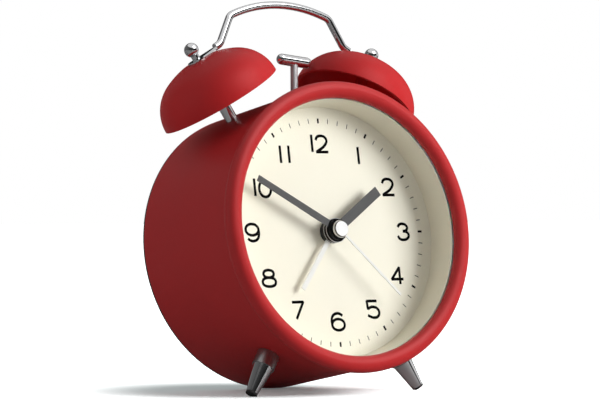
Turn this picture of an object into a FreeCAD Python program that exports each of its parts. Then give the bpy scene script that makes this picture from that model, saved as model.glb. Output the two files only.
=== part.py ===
import FreeCAD, Part
import Sketcher
import math
import os
from FreeCAD import Placement, Rotation, Vector

# Twin bell alarm clock, in millimetres.
# The clock is built square on in its own clock frame: x to the viewer's right, y to 12 o'clock and z out of
# the dial, with the origin on the dial's axis in the plane of the bezel. The whole clock then leans back on
# its two feet and the back rim. The part's origin is on the table, under the middle of the clock.

doc = FreeCAD.newDocument("twin_bell_clock")
sheet = doc.addObject("Spreadsheet::Sheet", "Sizes")

DRIVING = [
    # Case
    ("bezel_radius", 58.0, "outside of the rolled red bezel"),
    ("roll_radius", 3.375, "radius of the bezel's round roll"),
    ("drum_step", 2.0, "outside of the bezel to the drum"),
    ("drum_fillet", 3.0, "hollow between the roll and the drum"),
    ("case_wall", 0.8, "steel sheet of the case"),
    ("case_depth", 62.3, "bezel plane to the back edge of the sheet"),
    ("lean_angle", 10.0, "lean back, degrees"),
    ("fit_gap", 0.3, "gap between pieces that are dropped in"),
    ("running_gap", 0.05, "radial gap of a turning fit"),
    ("hole_gap", 0.15, "radial gap of a screw in its hole"),
    # Glass and dial
    ("lens_step", 1.4, "drum to the edge of the glass, seal and dial ring"),
    ("lens_thickness", 1.2, "glass"),
    ("seal_thickness", 0.4, "seal behind the glass"),
    ("ring_step", 0.05, "inner edge of the bezel to the cream ring"),
    ("ring_draw", 0.9, "how far the cream ring narrows to the dial"),
    ("dial_depth", 14.4, "bezel plane to the dial's face"),
    ("dial_thickness", 0.6, "dial plate"),
    ("carrier_thickness", 1.5, "plate that carries the dial and the movement"),
    ("carrier_gap", 0.3, "carrier to the case"),
    # Bells, posts and nuts
    ("bell_angle", 30.0, "bell axis from 12 o'clock, degrees"),
    ("bell_plane", 33.0, "bezel plane to the plane of the bells"),
    ("bell_gap", 9.0, "drum to the rim of a bell"),
    ("bell_radius", 25.25, "rim of a bell"),
    ("bell_height", 18.9, "rim to the crown"),
    ("bell_shoulder", 16.96, "radius of the bell's shoulder"),
    ("bell_wall", 1.2, "steel of the bell"),
    ("bell_seat_radius", 7.5, "flat seat on the crown"),
    ("post_radius", 2.5, "spacer of a bell post"),
    ("thread_radius", 2.0, "threaded ends of posts and feet"),
    ("thread_inside", 6.0, "thread inside the case"),
    ("washer_radius", 4.5, "washer under a bell"),
    ("washer_thickness", 0.8, "washer under a bell"),
    ("bell_thread", 1.1, "thread of a post through its bell"),
    ("ball_radius", 2.9, "round head of the nut on a bell"),
    ("ball_rise", 4.2, "tab to the middle of that head"),
    ("neck_radius", 1.6, "neck of that nut"),
    ("neck_bore", 3.2, "depth of its thread"),
    ("hex_radius", 3.2, "corner of a nut in the case"),
    ("hex_height", 3.0, "nut in the case"),
    # Handle
    ("rod_radius", 1.5, "handle rod"),
    ("handle_rise", 12.3, "top of a bell's axis to the middle of the rod at the top"),
    ("crown_radius", 60.0, "bend of the top of the handle"),
    ("crown_sweep", 22.3, "half sweep of the top, degrees"),
    ("leg_slope", 62.5, "slope of a leg, degrees below level"),
    ("shoulder_bend", 4.0, "bend from the top to a leg"),
    ("foot_bend", 4.0, "bend from a leg to its tab"),
    ("tab_thickness", 1.0, "end of the rod, beaten flat under the nut"),
    ("tab_width", 8.0, "across the tab at the nut"),
    ("tab_reach", 11.0, "nut axis to the end of the flat part"),
    ("rod_lift", 0.8, "seat on the bell to the middle of the round rod"),
    ("rod_end", 10.6, "nut axis to the end of the round rod"),
    # Feet
    ("foot_angle", 33.0, "foot axis from 6 o'clock, degrees"),
    ("foot_plane", 20.1, "bezel plane to the feet"),
    ("collar_radius", 4.5, "collar of a foot"),
    ("collar_height", 6.0, "collar of a foot"),
    ("foot_top_radius", 4.1, "foot cone at the collar"),
    ("foot_tip_radius", 2.35, "foot cone at the pad"),
    ("pad_height", 0.8, "rubber pad"),
    ("pad_flat", 0.35, "how far the pad is worn flat"),
    # Back
    ("cover_step", 0.1, "drum to the edge of the back cover"),
    ("cover_thickness", 1.0, "back cover"),
    ("rim_flat", 0.15, "how far the cover's rim is worn flat"),
    ("screw_inset", 5.0, "drum to the cover screws"),
    ("screw_radius", 1.15, "cover screw"),
    ("screw_head_radius", 2.4, "head of a cover screw"),
    ("screw_head_height", 1.4, "head of a cover screw"),
    ("screw_length", 6.0, "thread of a cover screw"),
    ("slot_half", 1.4, "half length of the cross slot in its head"),
    ("slot_width", 0.6, "cross slot"),
    ("slot_depth", 0.8, "cross slot"),
    ("lug_height", 8.0, "screw lug in the case"),
    ("lug_bite", 0.3, "lug into the case wall"),
    # Batteries
    ("cell_radius", 7.1, "AA cell"),
    ("cell_length", 49.0, "AA cell without its nub"),
    ("nub_radius", 2.7, "nub of a cell"),
    ("nub_length", 1.3, "nub of a cell"),
    ("cell_gap", 0.3, "cell to the box"),
    ("box_wall", 1.2, "battery box"),
    ("box_rise", 12.4, "drum's lowest line to the battery room"),
    ("contact_room", 3.4, "end of a cell to the end of the room"),
    ("contact_sheet", 0.4, "contact strip"),
    ("contact_width", 9.0, "contact strip"),
    ("spring_radius", 3.0, "contact spring"),
    ("lid_thickness", 0.9, "battery door"),
    ("lid_gap", 0.1, "battery door to the cover"),
    ("lid_overlap", 1.5, "battery door past its opening"),
    ("hinge_radius", 0.9, "barrel of the door hinge"),
    ("hinge_drop", 2.0, "opening to the hinge axis"),
    ("hinge_pin_radius", 0.5, "stub pins of the door"),
    ("barrel_half", 20.0, "half the length of the barrel"),
    ("ear_thickness", 2.0, "ear of the hinge"),
    ("ear_gap", 0.3, "barrel to an ear"),
    ("lid_step", 1.6, "hinge axis to the door's edge beside the ears"),
    ("rib_drop", 2.5, "door's free edge to its first finger rib"),
    ("rib_pitch", 1.8, "one finger rib to the next"),
    ("rib_half", 8.0, "half length of a rib"),
    ("rib_width", 0.8, "finger rib"),
    ("rib_height", 0.5, "finger rib"),
    ("groove_pitch", 1.6, "one groove in the switch's thumb to the next"),
    ("groove_width", 0.7, "groove in the thumb"),
    ("groove_depth", 0.5, "groove in the thumb"),
    # Movement
    ("movement_half", 30.0, "half the movement's width and height"),
    ("movement_plate", 1.5, "front plate"),
    ("movement_depth", 14.5, "rear half of the movement"),
    ("movement_wall", 1.2, "rear half of the movement"),
    ("wheel_thickness", 0.8, "small wheels"),
    ("wheel_gap", 0.6, "between wheels on neighbouring levels"),
    ("fast_module", 0.36, "module of the fast wheels"),
    ("motion_module", 0.35, "module of the hand wheels"),
    ("stub_radius", 0.5, "fixed stub axles"),
    ("arbor_radius", 0.9, "second arbor"),
    ("tube_wall", 0.7, "hand tubes"),
    ("bushing_radius", 4.2, "threaded bushing through the dial"),
    ("bushing_height", 2.5, "bushing in front of the front plate"),
    ("shaft_radius", 1.5, "setting shafts"),
    ("magnet_radius", 3.0, "rotor magnet"),
    ("stator_gap", 0.5, "rotor magnet to the stator"),
    ("stator_half", 17.0, "rotor to each end of the stator"),
    ("stator_foot", 2.0, "rotor magnet to the lower edge of the stator"),
    ("stator_rise", 4.0, "rotor magnet to the bar that carries the coil"),
    ("stator_bar", 2.0, "width of that bar"),
    ("window_edge", 1.5, "rotor magnet to the stator's window"),
    ("window_side", 3.0, "window to each end of the stator"),
    ("coil_inset", 6.0, "coil to each end of the stator"),
    ("coil_wound", 1.2, "thickness of the winding"),
    # Hands, heights above the dial
    ("alarm_hand_height", 2.8, "alarm hand"),
    ("hour_hand_height", 4.6, "hour hand"),
    ("minute_hand_height", 6.2, "minute hand"),
    ("second_hand_height", 7.8, "second hand"),
    ("hand_sheet", 0.4, "sheet of the hands"),
    ("hub_height", 0.9, "hub of a hand"),
    ("alarm_hand_length", 28.7, "alarm hand"),
    ("hour_hand_length", 27.5, "hour hand"),
    ("minute_hand_length", 41.3, "minute hand"),
    ("second_hand_length", 37.5, "second hand"),
    ("alarm_hand_width", 2.0, "alarm hand"),
    ("hour_hand_width", 4.1, "hour hand"),
    ("minute_hand_width", 2.9, "minute hand at its hub"),
    ("minute_tip_width", 2.5, "minute hand at its tip"),
    ("second_hand_width", 0.9, "second hand"),
    ("big_hub_radius", 4.9, "hubs of the alarm and hour hands"),
    ("minute_hub_radius", 4.25, "hub of the minute hand"),
    ("second_hub_radius", 3.0, "hub of the second hand"),
    ("cap_radius", 3.5, "chrome cap at its base"),
    ("cap_face_radius", 2.95, "chrome cap at its face"),
    ("cap_height", 1.1, "chrome cap"),
    # Knobs and switch
    ("knob_radius", 5.5, "setting knob"),
    ("knob_height", 7.0, "setting knob"),
    ("switch_travel", 6.0, "alarm switch"),
    ("stem_half", 2.0, "half the stem's length"),
    ("stem_rise", 1.1, "half the stem's height"),
    ("thumb_half", 3.0, "half the thumb piece's length"),
    ("thumb_rise", 2.5, "half the thumb piece's height"),
    ("thumb_height", 3.0, "thumb piece"),
    ("slider_half", 7.0, "half the slider's length"),
    ("slider_rise", 3.0, "half the slider's height"),
    ("slider_thickness", 1.2, "slider"),
    # Hammer and motor
    ("pivot_drop", 12.0, "drum's top line to the pivot"),
    ("hammer_plane", 30.5, "bezel plane to the hammer arm"),
    ("hammer_lean", 6.4, "lean of the arm at rest, degrees"),
    ("hammer_reach", 28.8, "pivot to the middle of the head"),
    ("arm_radius", 1.5, "hammer arm"),
    ("head_radius", 2.25, "hammer head"),
    ("head_half", 8.1, "half the head's length"),
    ("head_edge", 2.2, "domed ends of the head"),
    ("pivot_radius", 1.5, "pivot pin"),
    ("pivot_head", 2.4, "head of the pivot pin"),
    ("hub_radius", 3.0, "hub of the hammer"),
    ("fork_thickness", 1.2, "fork of the hammer"),
    ("fork_width", 1.2, "prong of the fork"),
    ("bracket_half", 8.0, "half the bracket's width"),
    ("bracket_sheet", 1.2, "bracket"),
    ("bracket_low", 5.5, "bracket below the pivot"),
    ("bracket_gap", 1.0, "case wall to the bracket's flange, on the middle line"),
    ("bracket_flange", 5.0, "depth of the flange"),
    ("motor_drop", 18.0, "pivot to the motor's axis"),
    ("motor_radius", 10.2, "motor can"),
    ("motor_front", 38.4, "bezel plane to the motor"),
    ("motor_length", 19.6, "motor can"),
    ("motor_shaft", 1.0, "motor shaft"),
    ("crank_offset", 1.2, "crank pin from the motor's axis"),
    ("shaft_depth", 4.0, "crank's shaft in the motor"),
    ("tine_reach", 3.0, "fork past the motor's axis"),
    ("crank_pin", 0.7, "crank pin"),
    ("crank_disc", 3.5, "crank disc"),
    ("cup_wall", 1.2, "cup that holds the motor"),
    ("cup_depth", 12.0, "cup that holds the motor"),
]
for row, (name, value, note) in enumerate(DRIVING, 1):
    sheet.set("A%d" % row, note)
    sheet.set("B%d" % row, str(value))
    sheet.setAlias("B%d" % row, name)
doc.recompute()


class Size:
    """A length or an angle that knows its value and the formula behind it."""

    def __init__(self, value, formula):
        self.value = value
        self.formula = formula

    def joined(self, other, sign, value):
        return Size(value, "(%s %s %s)" % (self.formula, sign, size(other).formula))

    def __add__(self, other):
        return self.joined(other, "+", self.value + float(other))

    def __radd__(self, other):
        return size(other) + self

    def __sub__(self, other):
        return self.joined(other, "-", self.value - float(other))

    def __rsub__(self, other):
        return size(other) - self

    def __mul__(self, other):
        return self.joined(other, "*", self.value * float(other))

    def __rmul__(self, other):
        return size(other) * self

    def __truediv__(self, other):
        return self.joined(other, "/", self.value / float(other))

    def __rtruediv__(self, other):
        return size(other) / self

    def __neg__(self):
        return 0 - self

    def __float__(self):
        return self.value


def size(value):
    return value if isinstance(value, Size) else Size(float(value), repr(float(value)))


def root(value):
    return Size(math.sqrt(float(value)), "sqrt(%s)" % size(value).formula)


def sine(angle):
    return Size(math.sin(math.radians(float(angle))), "sin(%s)" % size(angle).formula)


def cosine(angle):
    return Size(math.cos(math.radians(float(angle))), "cos(%s)" % size(angle).formula)


class Cells:
    """The sheet's cells by name."""

    def __getattr__(self, name):
        return Size(float(sheet.get(name)), "Sizes." + name)


sz = Cells()

# Round and across the case, all from the bezel
drum_radius = sz.bezel_radius - sz.drum_step
cover_radius = drum_radius - sz.cover_step
lens_radius = drum_radius - sz.lens_step
ring_front_radius = sz.bezel_radius - 2 * sz.roll_radius - sz.ring_step
dial_seen_radius = ring_front_radius - sz.ring_draw
screw_circle = drum_radius - sz.screw_inset
box_low = drum_radius - sz.box_rise
hammer_pivot = drum_radius - sz.pivot_drop
motor_height = hammer_pivot - sz.motor_drop
bracket_top = drum_radius - sz.case_wall - sz.bracket_gap
bell_rim_distance = drum_radius + sz.bell_gap
crown_height = bell_rim_distance + sz.bell_height + sz.handle_rise

# Levels along the dial's axis, all behind the bezel plane
lens_front = -sz.fit_gap
lens_back = lens_front - sz.lens_thickness
seal_back = lens_back - sz.seal_thickness
dial_face = -sz.dial_depth
dial_back = dial_face - sz.dial_thickness
carrier_back = dial_back - sz.carrier_thickness
plate_back = carrier_back - sz.movement_plate
room_back = plate_back - sz.movement_depth + sz.movement_wall
movement_back = plate_back - sz.movement_depth
cover_front = -sz.case_depth
cover_back = cover_front - sz.cover_thickness

# Wheels' levels, from the front plate to the back
alarm_level = plate_back - sz.wheel_gap - sz.wheel_thickness
hour_level = alarm_level - sz.wheel_gap - sz.wheel_thickness
motion_level = hour_level - sz.wheel_gap - sz.wheel_thickness
center_level = motion_level - sz.wheel_gap - sz.wheel_thickness
third_level = center_level - sz.wheel_gap - sz.wheel_thickness
second_level = third_level - sz.wheel_gap - sz.wheel_thickness
train_level = second_level - sz.wheel_gap - sz.wheel_thickness

# How the clock stands: the table meets the rim of the back cover and the two pads
table_height = cover_radius * cosine(sz.lean_angle) - cover_back * sine(sz.lean_angle) - sz.rim_flat
knob_top = cover_back - sz.fit_gap - sz.knob_height
reach_front = (sz.bezel_radius - sz.roll_radius) * sine(sz.lean_angle) + sz.roll_radius
reach_back = sz.knob_radius * sine(sz.lean_angle) - knob_top * cosine(sz.lean_angle)
clock_shift = (reach_front - reach_back) / 2
clock = Placement(
    Vector(0, float(clock_shift), float(table_height)),
    Rotation(Vector(1, 0, 0), 90 - float(sz.lean_angle)))

pieces = {}


def at(x=0, y=0, z=0, turn=0):
    """A place in the clock frame, turned clockwise as the viewer sees it."""
    return Placement(Vector(float(x), float(y), float(z)), Rotation(Vector(0, 0, 1), -float(turn)))


def along_x(x, y, z):
    """A place whose z runs to the viewer's right."""
    return at(x, y, z) * Placement(Vector(), Rotation(Vector(0, 1, 0), 90))


def radial(angle, depth):
    """A place whose z runs out from the clock's axis, at an angle clockwise from 12 o'clock."""
    upright = Placement(Vector(0, 0, 0), Rotation(Vector(1, 0, 0), -90))
    return at(z=-float(depth), turn=angle) * upright


def piece(name, thing, place):
    """Give a finished piece its name and its place in the clock."""
    thing.Label = name
    thing.Placement = clock * place
    pieces[name] = thing


def group(name, things, places):
    """Several separate copies that share one name."""
    for thing, place in zip(things, places):
        thing.Placement = clock * place
    joint = doc.addObject("Part::Compound", name)
    joint.Links = things
    joint.Label = name
    pieces[name] = joint


def bind(thing, **sizes):
    for field, value in sizes.items():
        thing.setExpression(field, size(value).formula)
    return thing


def rod(name, radius, length, place=Placement()):
    thing = bind(doc.addObject("Part::Cylinder", name), Radius=radius, Height=length)
    thing.Placement = place
    return thing


def block(name, low, high):
    """A block between two corners."""
    thing = doc.addObject("Part::Box", name)
    spans = [size(b) - a for a, b in zip(low, high)]
    bind(thing, Length=spans[0], Width=spans[1], Height=spans[2])
    thing.Placement = Placement(Vector(*[float(a) for a in low]), Rotation())
    return thing


def joined(name, things):
    whole = doc.addObject("Part::MultiFuse", name)
    whole.Shapes = things
    return whole


def less(name, base, tools):
    """The base with every tool cut away."""
    cut = doc.addObject("Part::Cut", name)
    cut.Base = base
    cut.Tool = tools[0] if len(tools) == 1 else joined(name + "_cuts", tools)
    return cut


def origin_plane(body, role):
    return [plane for plane in body.Origin.OriginFeatures if plane.Role == role][0]


def sketch_on(body, role, name):
    sketch = body.newObject("Sketcher::SketchObject", name)
    sketch.AttachmentSupport = (origin_plane(body, role), [""])
    sketch.MapMode = "FlatFace"
    return sketch


def arc_between(start, end, radius, turn):
    """The short arc from start to end that turns left (1) or right (-1)."""
    chord = end - start
    side = Vector(-chord.y, chord.x, 0).normalize() * turn
    centre = start + chord / 2 + side * math.sqrt(radius ** 2 - (chord.Length / 2) ** 2)
    first, last = (start, end) if turn > 0 else (end, start)
    angles = [math.atan2(spot.y - centre.y, spot.x - centre.x) for spot in (first, last)]
    return Part.ArcOfCircle(Part.Circle(centre, Vector(0, 0, 1), radius), *angles)


def hold(sketch, kind, where, value):
    """Set a measure of the sketch and bind it to its formula."""
    index = sketch.addConstraint(Sketcher.Constraint(kind, *where, float(value)))
    sketch.setExpression("Constraints[%d]" % index, size(value).formula)


def pin(sketch, line, end, spot):
    """Hold one end of a line at a spot. A plain zero puts it on the axis."""
    for kind, axis, value in (("DistanceX", -2, spot[0]), ("DistanceY", -1, spot[1])):
        if isinstance(value, Size):
            hold(sketch, kind, (line, end), value)
        else:
            sketch.addConstraint(Sketcher.Constraint("PointOnObject", line, end, axis))


def draw(sketch, corners, closed=True):
    """Lines from corner to corner. A corner (x, y, radius, turn) is reached by an arc."""
    spots = [Vector(float(corner[0]), float(corner[1]), 0) for corner in corners]
    ends = []
    for number in range(0 if closed else 1, len(corners)):
        corner = corners[number]
        if len(corner) == 2:
            edge = Part.LineSegment(spots[number - 1], spots[number])
            start, end = 1, 2
        else:
            edge = arc_between(spots[number - 1], spots[number], float(corner[2]), corner[3])
            start, end = (1, 2) if corner[3] > 0 else (2, 1)
        line = sketch.addGeometry(edge, False)
        pin(sketch, line, end, corner)
        if len(corner) > 2:
            hold(sketch, "Radius", (line,), corner[2])
        ends.append((line, start, end))
    for before, after in zip(ends, ends[1:] + ends[:1] if closed else ends[1:]):
        sketch.addConstraint(Sketcher.Constraint("Coincident", before[0], before[2], after[0], after[1]))
    if not closed:
        pin(sketch, ends[0][0], ends[0][1], corners[0])
    return [line for line, _, _ in ends]


def turned(name, corners):
    """A round piece: an outline (radius, height) turned about z."""
    body = doc.addObject("PartDesign::Body", name)
    sketch = sketch_on(body, "XZ_Plane", name + "_profile")
    draw(sketch, corners)
    turn = body.newObject("PartDesign::Revolution", name + "_turn")
    turn.Profile = sketch
    turn.ReferenceAxis = (sketch, ["V_Axis"])
    turn.Angle = 360
    return body


def ring(name, inner, outer, low, high):
    return turned(name, [(outer, low), (outer, high), (inner, high), (inner, low)])


def padded(name, corners, low, high):
    """A flat piece: an outline (x, y) padded from one height to another."""
    body = doc.addObject("PartDesign::Body", name)
    sketch = sketch_on(body, "XY_Plane", name + "_outline")
    draw(sketch, corners)
    sketch.setExpression("AttachmentOffset.Base.z", size(low).formula)
    pad = body.newObject("PartDesign::Pad", name + "_pad")
    pad.Profile = sketch
    bind(pad, Length=size(high) - low)
    return body


def below_table(name, place):
    """Everything under the table's top, for a piece that is worn flat where it stands."""
    wide = 300
    thing = doc.addObject("Part::Box", name)
    thing.Length = thing.Width = wide
    thing.Height = wide / 4
    table = Placement(Vector(-wide / 2, -wide / 2, -wide / 4), Rotation())
    thing.Placement = (clock * place).inverse() * table
    return thing


# Case


def case_shell():
    roll = sz.roll_radius
    fillet = sz.drum_fillet
    wall = sz.case_wall
    middle = sz.bezel_radius - roll
    inner = middle - roll
    across = drum_radius + fillet - middle
    down = -root((roll + fillet) * (roll + fillet) - across * across)
    lean_x = across / (roll + fillet)
    lean_y = down / (roll + fillet)
    skin = turned("case_skin", [
        (inner, 0), (middle, roll, roll, -1), (sz.bezel_radius, 0, roll, -1),
        (middle + roll * lean_x, roll * lean_y, roll, -1), (drum_radius, down, fillet, 1),
        (drum_radius, cover_front), (drum_radius - wall, cover_front), (drum_radius - wall, down),
        (middle + (roll - wall) * lean_x, (roll - wall) * lean_y, fillet + wall, -1),
        (sz.bezel_radius - wall, 0, roll - wall, 1), (middle, roll - wall, roll - wall, 1),
        (inner + wall, 0, roll - wall, 1)])
    lug_radius = drum_radius - wall + sz.lug_bite - screw_circle
    lugs = []
    cuts = []
    for number in range(4):
        place = at(turn=45 + 90 * number) * at(y=screw_circle, z=cover_front)
        lugs.append(rod("lug_%d" % number, lug_radius, sz.lug_height, place))
        cuts.append(rod("lug_hole_%d" % number, sz.screw_radius + sz.hole_gap, sz.lug_height, place))
    for side in (-1, 1):
        post = radial(side * float(sz.bell_angle), sz.bell_plane) * at(z=drum_radius - 4 * wall)
        foot = radial(180 + side * float(sz.foot_angle), sz.foot_plane) * at(z=drum_radius - 4 * wall)
        cuts.append(rod("post_hole_%d" % side, sz.thread_radius + sz.hole_gap, 6 * wall, post))
        cuts.append(rod("foot_hole_%d" % side, sz.thread_radius + sz.hole_gap, 6 * wall, foot))
    swing = (drum_radius - hammer_pivot) * sine(sz.hammer_lean) + sz.arm_radius + 3 * sz.fit_gap
    slot_half = sz.arm_radius + 3 * sz.fit_gap
    cuts.append(block(
        "hammer_slot", (-swing, drum_radius - 4 * wall, -sz.hammer_plane - slot_half),
        (swing, drum_radius + wall, -sz.hammer_plane + slot_half)))
    piece("case_shell", less("case_cut", joined("case_whole", [skin] + lugs), cuts), at())


def glass_and_dial():
    bore = sz.bushing_radius + sz.fit_gap
    piece("lens", ring("lens", 0, lens_radius, lens_back, lens_front), at())
    piece("lens_seal", ring("lens_seal", ring_front_radius, lens_radius, seal_back, lens_back), at())
    flange = sz.carrier_thickness / 2
    piece("dial_ring", turned("dial_ring", [
        (lens_radius, seal_back), (ring_front_radius, seal_back), (dial_seen_radius, dial_face),
        (dial_seen_radius + sz.case_wall, dial_face), (ring_front_radius + sz.case_wall, seal_back - flange),
        (lens_radius, seal_back - flange)]), at())
    piece("dial", ring("dial", bore, lens_radius, dial_back, dial_face), at())
    carrier = drum_radius - sz.case_wall - sz.carrier_gap
    piece("dial_carrier", ring("dial_carrier", bore, carrier, carrier_back, dial_back), at())


# Bells, posts, nuts and handle

bell_reach = sz.bell_radius - sz.bell_shoulder
bell_crown = (bell_reach * bell_reach + sz.bell_height * sz.bell_height
              - sz.bell_shoulder * sz.bell_shoulder) / (2 * (sz.bell_height - sz.bell_shoulder))
bell_centre = bell_rim_distance + sz.bell_height - bell_crown
bell_seat = bell_centre + root(bell_crown * bell_crown - sz.bell_seat_radius * sz.bell_seat_radius)
bell_inside = bell_seat - sz.bell_wall
post_top = bell_inside - sz.washer_thickness
tab_top = bell_seat + sz.tab_thickness


def bell(name, side):
    rim = bell_rim_distance
    wall = sz.bell_wall
    rise = rim - bell_centre
    span = root(bell_reach * bell_reach + rise * rise)
    inner = bell_crown - wall
    hole = sz.bell_thread + sz.hole_gap
    flat = root(inner * inner - (bell_inside - bell_centre) * (bell_inside - bell_centre))
    shape = turned(name, [
        (sz.bell_radius, rim),
        (bell_reach * bell_crown / span, bell_centre + rise * bell_crown / span, sz.bell_shoulder, 1),
        (sz.bell_seat_radius, bell_seat, bell_crown, 1), (hole, bell_seat), (hole, bell_inside),
        (flat, bell_inside), (bell_reach * inner / span, bell_centre + rise * inner / span, inner, -1),
        (sz.bell_radius - wall, rim, sz.bell_shoulder - wall, -1)])
    piece(name, shape, radial(side * float(sz.bell_angle), sz.bell_plane))


def bell_post(name, side):
    low = drum_radius - sz.thread_inside
    top = tab_top + sz.neck_bore - sz.fit_gap
    shape = turned(name, [
        (0, low), (sz.thread_radius, low), (sz.thread_radius, drum_radius), (sz.post_radius, drum_radius),
        (sz.post_radius, post_top), (sz.bell_thread, post_top), (sz.bell_thread, top), (0, top)])
    piece(name, shape, radial(side * float(sz.bell_angle), sz.bell_plane))


def ball_nut(name):
    ball = sz.ball_radius
    middle = tab_top + sz.ball_rise
    neck_top = middle - root(ball * ball - sz.neck_radius * sz.neck_radius)
    bore_top = tab_top + sz.neck_bore
    return turned(name, [
        (sz.neck_radius, tab_top), (sz.neck_radius, neck_top), (0, middle + ball, ball, 1),
        (0, bore_top), (sz.bell_thread, bore_top), (sz.bell_thread, tab_top)])


def hex_nut(name):
    top = drum_radius - sz.case_wall - sz.fit_gap
    prism = doc.addObject("Part::Prism", name)
    prism.Polygon = 6
    bind(prism, Circumradius=sz.hex_radius, Height=sz.hex_height)
    prism.Placement = at(z=top - sz.hex_height)
    return less(name + "_cut", prism, [rod(name + "_bore", sz.thread_radius, drum_radius)])


def bell_fixings():
    places = [radial(side * float(sz.bell_angle), sz.bell_plane) for side in (-1, 1)]
    sides = ("left", "right")
    group("bell_washers", [
        ring("washer_" + side, sz.bell_thread, sz.washer_radius, post_top, bell_inside)
        for side in sides], places)
    group("bell_nuts", [ball_nut("ball_nut_" + side) for side in sides], places)
    group("post_nuts", [hex_nut("post_nut_" + side) for side in sides], places)


def handle():
    """A bent rod, half of it swept and then mirrored, with its ends beaten flat under the nuts."""
    body = doc.addObject("PartDesign::Body", "handle_rod")
    slope = sz.leg_slope
    sweep = sz.crown_sweep
    tilt = sz.bell_angle
    centre = crown_height - sz.crown_radius
    first = (sz.crown_radius * sine(sweep), centre + sz.crown_radius * cosine(sweep))
    second = (first[0] + sz.shoulder_bend * (sine(slope) - sine(sweep)),
              first[1] + sz.shoulder_bend * (cosine(slope) - cosine(sweep)))
    rod_level = bell_seat + sz.rod_lift
    level = second[0] * sine(tilt) + second[1] * cosine(tilt)
    leg = (level + sz.foot_bend * (cosine(slope - tilt) - 1) - rod_level) / sine(slope - tilt)
    third = (second[0] + leg * cosine(slope), second[1] - leg * sine(slope))
    fourth = (third[0] + sz.foot_bend * (sine(slope) - sine(tilt)),
              third[1] + sz.foot_bend * (cosine(slope) - cosine(tilt)))
    end = (rod_level * sine(tilt) - sz.rod_end * cosine(tilt),
           rod_level * cosine(tilt) + sz.rod_end * sine(tilt))
    path = sketch_on(body, "XY_Plane", "handle_path")
    draw(path, [
        (0, crown_height), (*first, sz.crown_radius, -1), (*second, sz.shoulder_bend, -1), third,
        (*fourth, sz.foot_bend, 1), end], closed=False)
    profile = sketch_on(body, "YZ_Plane", "handle_section")
    circle = profile.addGeometry(
        Part.Circle(Vector(float(crown_height), 0, 0), Vector(0, 0, 1), float(sz.rod_radius)), False)
    pin(profile, circle, 3, (crown_height, 0))
    hold(profile, "Radius", (circle,), sz.rod_radius)
    pipe = body.newObject("PartDesign::AdditivePipe", "handle_half")
    pipe.Profile = profile
    pipe.Spine = (path, ["Edge%d" % number for number in range(1, 6)])
    doc.recompute()
    mirror = body.newObject("PartDesign::Mirrored", "handle_mirror")
    mirror.Originals = [pipe]
    mirror.MirrorPlane = (origin_plane(body, "YZ_Plane"), [""])
    body.Tip = mirror
    tabs = []
    half = sz.tab_width / 2
    narrow = 0.8 * sz.rod_radius
    for side in (1, -1):
        reach = -side * sz.tab_reach
        tip = rod("tab_tip_%d" % side, half, sz.tab_thickness, at(z=bell_seat))
        strip = padded("tab_strip_%d" % side, [
            (0, -half), (0, half), (reach, narrow), (reach, -narrow)], bell_seat, tab_top)
        hole = rod("tab_hole_%d" % side, sz.bell_thread + sz.hole_gap, 2 * bell_seat)
        tab = less("tab_%d" % side, joined("tab_whole_%d" % side, [tip, strip]), [hole])
        tab.Placement = radial(side * float(tilt), 0)
        tabs.append(tab)
    piece("handle", joined("handle_whole", [body] + tabs), at(z=-sz.bell_plane))


# Feet

foot_slope = cosine(sz.foot_angle) * cosine(sz.lean_angle)
foot_end = (table_height - sz.foot_plane * sine(sz.lean_angle)
            - sz.foot_tip_radius * root(1 - foot_slope * foot_slope) + sz.pad_flat) / foot_slope
pad_start = foot_end - sz.pad_height
collar_end = drum_radius + sz.collar_height


def foot(name, side):
    low = drum_radius - sz.thread_inside
    shape = turned(name, [
        (0, low), (sz.thread_radius, low), (sz.thread_radius, collar_end), (sz.foot_top_radius, collar_end),
        (sz.foot_tip_radius, pad_start), (0, pad_start)])
    piece(name, shape, radial(180 - side * float(sz.foot_angle), sz.foot_plane))


def foot_fixings():
    places = [radial(180 - side * float(sz.foot_angle), sz.foot_plane) for side in (-1, 1)]
    sides = ("left", "right")
    group("foot_collars", [
        ring("collar_" + side, sz.thread_radius, sz.collar_radius, drum_radius, collar_end)
        for side in sides], places)
    group("foot_nuts", [hex_nut("foot_nut_" + side) for side in sides], places)
    pads = []
    for side, place in zip(sides, places):
        pad = ring("pad_round_" + side, 0, sz.foot_tip_radius, pad_start, foot_end)
        pads.append(less("pad_" + side, pad, [below_table("pad_table_" + side, place)]))
    group("foot_tips", pads, places)


# Movement: a stepping motor turns the second wheel, and the train behind it turns the other hands

TOOTH_TOP = 0.8
TOOTH_DEPTH = 1.1
TIP_SHARE = 0.22
ROOT_SHARE = 0.50


def toothed(teeth, module, phase, low, thickness):
    """A toothed wheel with one tooth at the phase, in degrees to the left of 3 o'clock."""
    pitch = module * teeth / 2
    step = 360 / teeth
    root_radius = pitch - TOOTH_DEPTH * module
    tip_radius = pitch + TOOTH_TOP * module
    spots = []
    for number in range(teeth):
        middle = phase + number * step
        for radius, share in ((root_radius, -ROOT_SHARE), (tip_radius, -TIP_SHARE),
                              (tip_radius, TIP_SHARE), (root_radius, ROOT_SHARE)):
            angle = math.radians(middle + share * step / 2)
            spots.append(Vector(radius * math.cos(angle), radius * math.sin(angle), low))
    face = Part.Face(Part.makePolygon(spots + spots[:1]))
    return face.extrude(Vector(0, 0, thickness))


def tube(outer, low, high):
    return Part.makeCylinder(float(outer), float(high) - float(low), Vector(0, 0, float(low)))


def geared(name, solids, bore, place):
    """Wheels and tubes of one arbor as one piece, bored through."""
    whole = solids[0].fuse(solids[1:])
    if bore is not None:
        whole = whole.cut(tube(bore, cover_back - sz.knob_height, 0))
    thing = doc.addObject("Part::Feature", name)
    thing.Shape = whole.removeSplitter()
    piece(name, thing, place)


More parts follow.
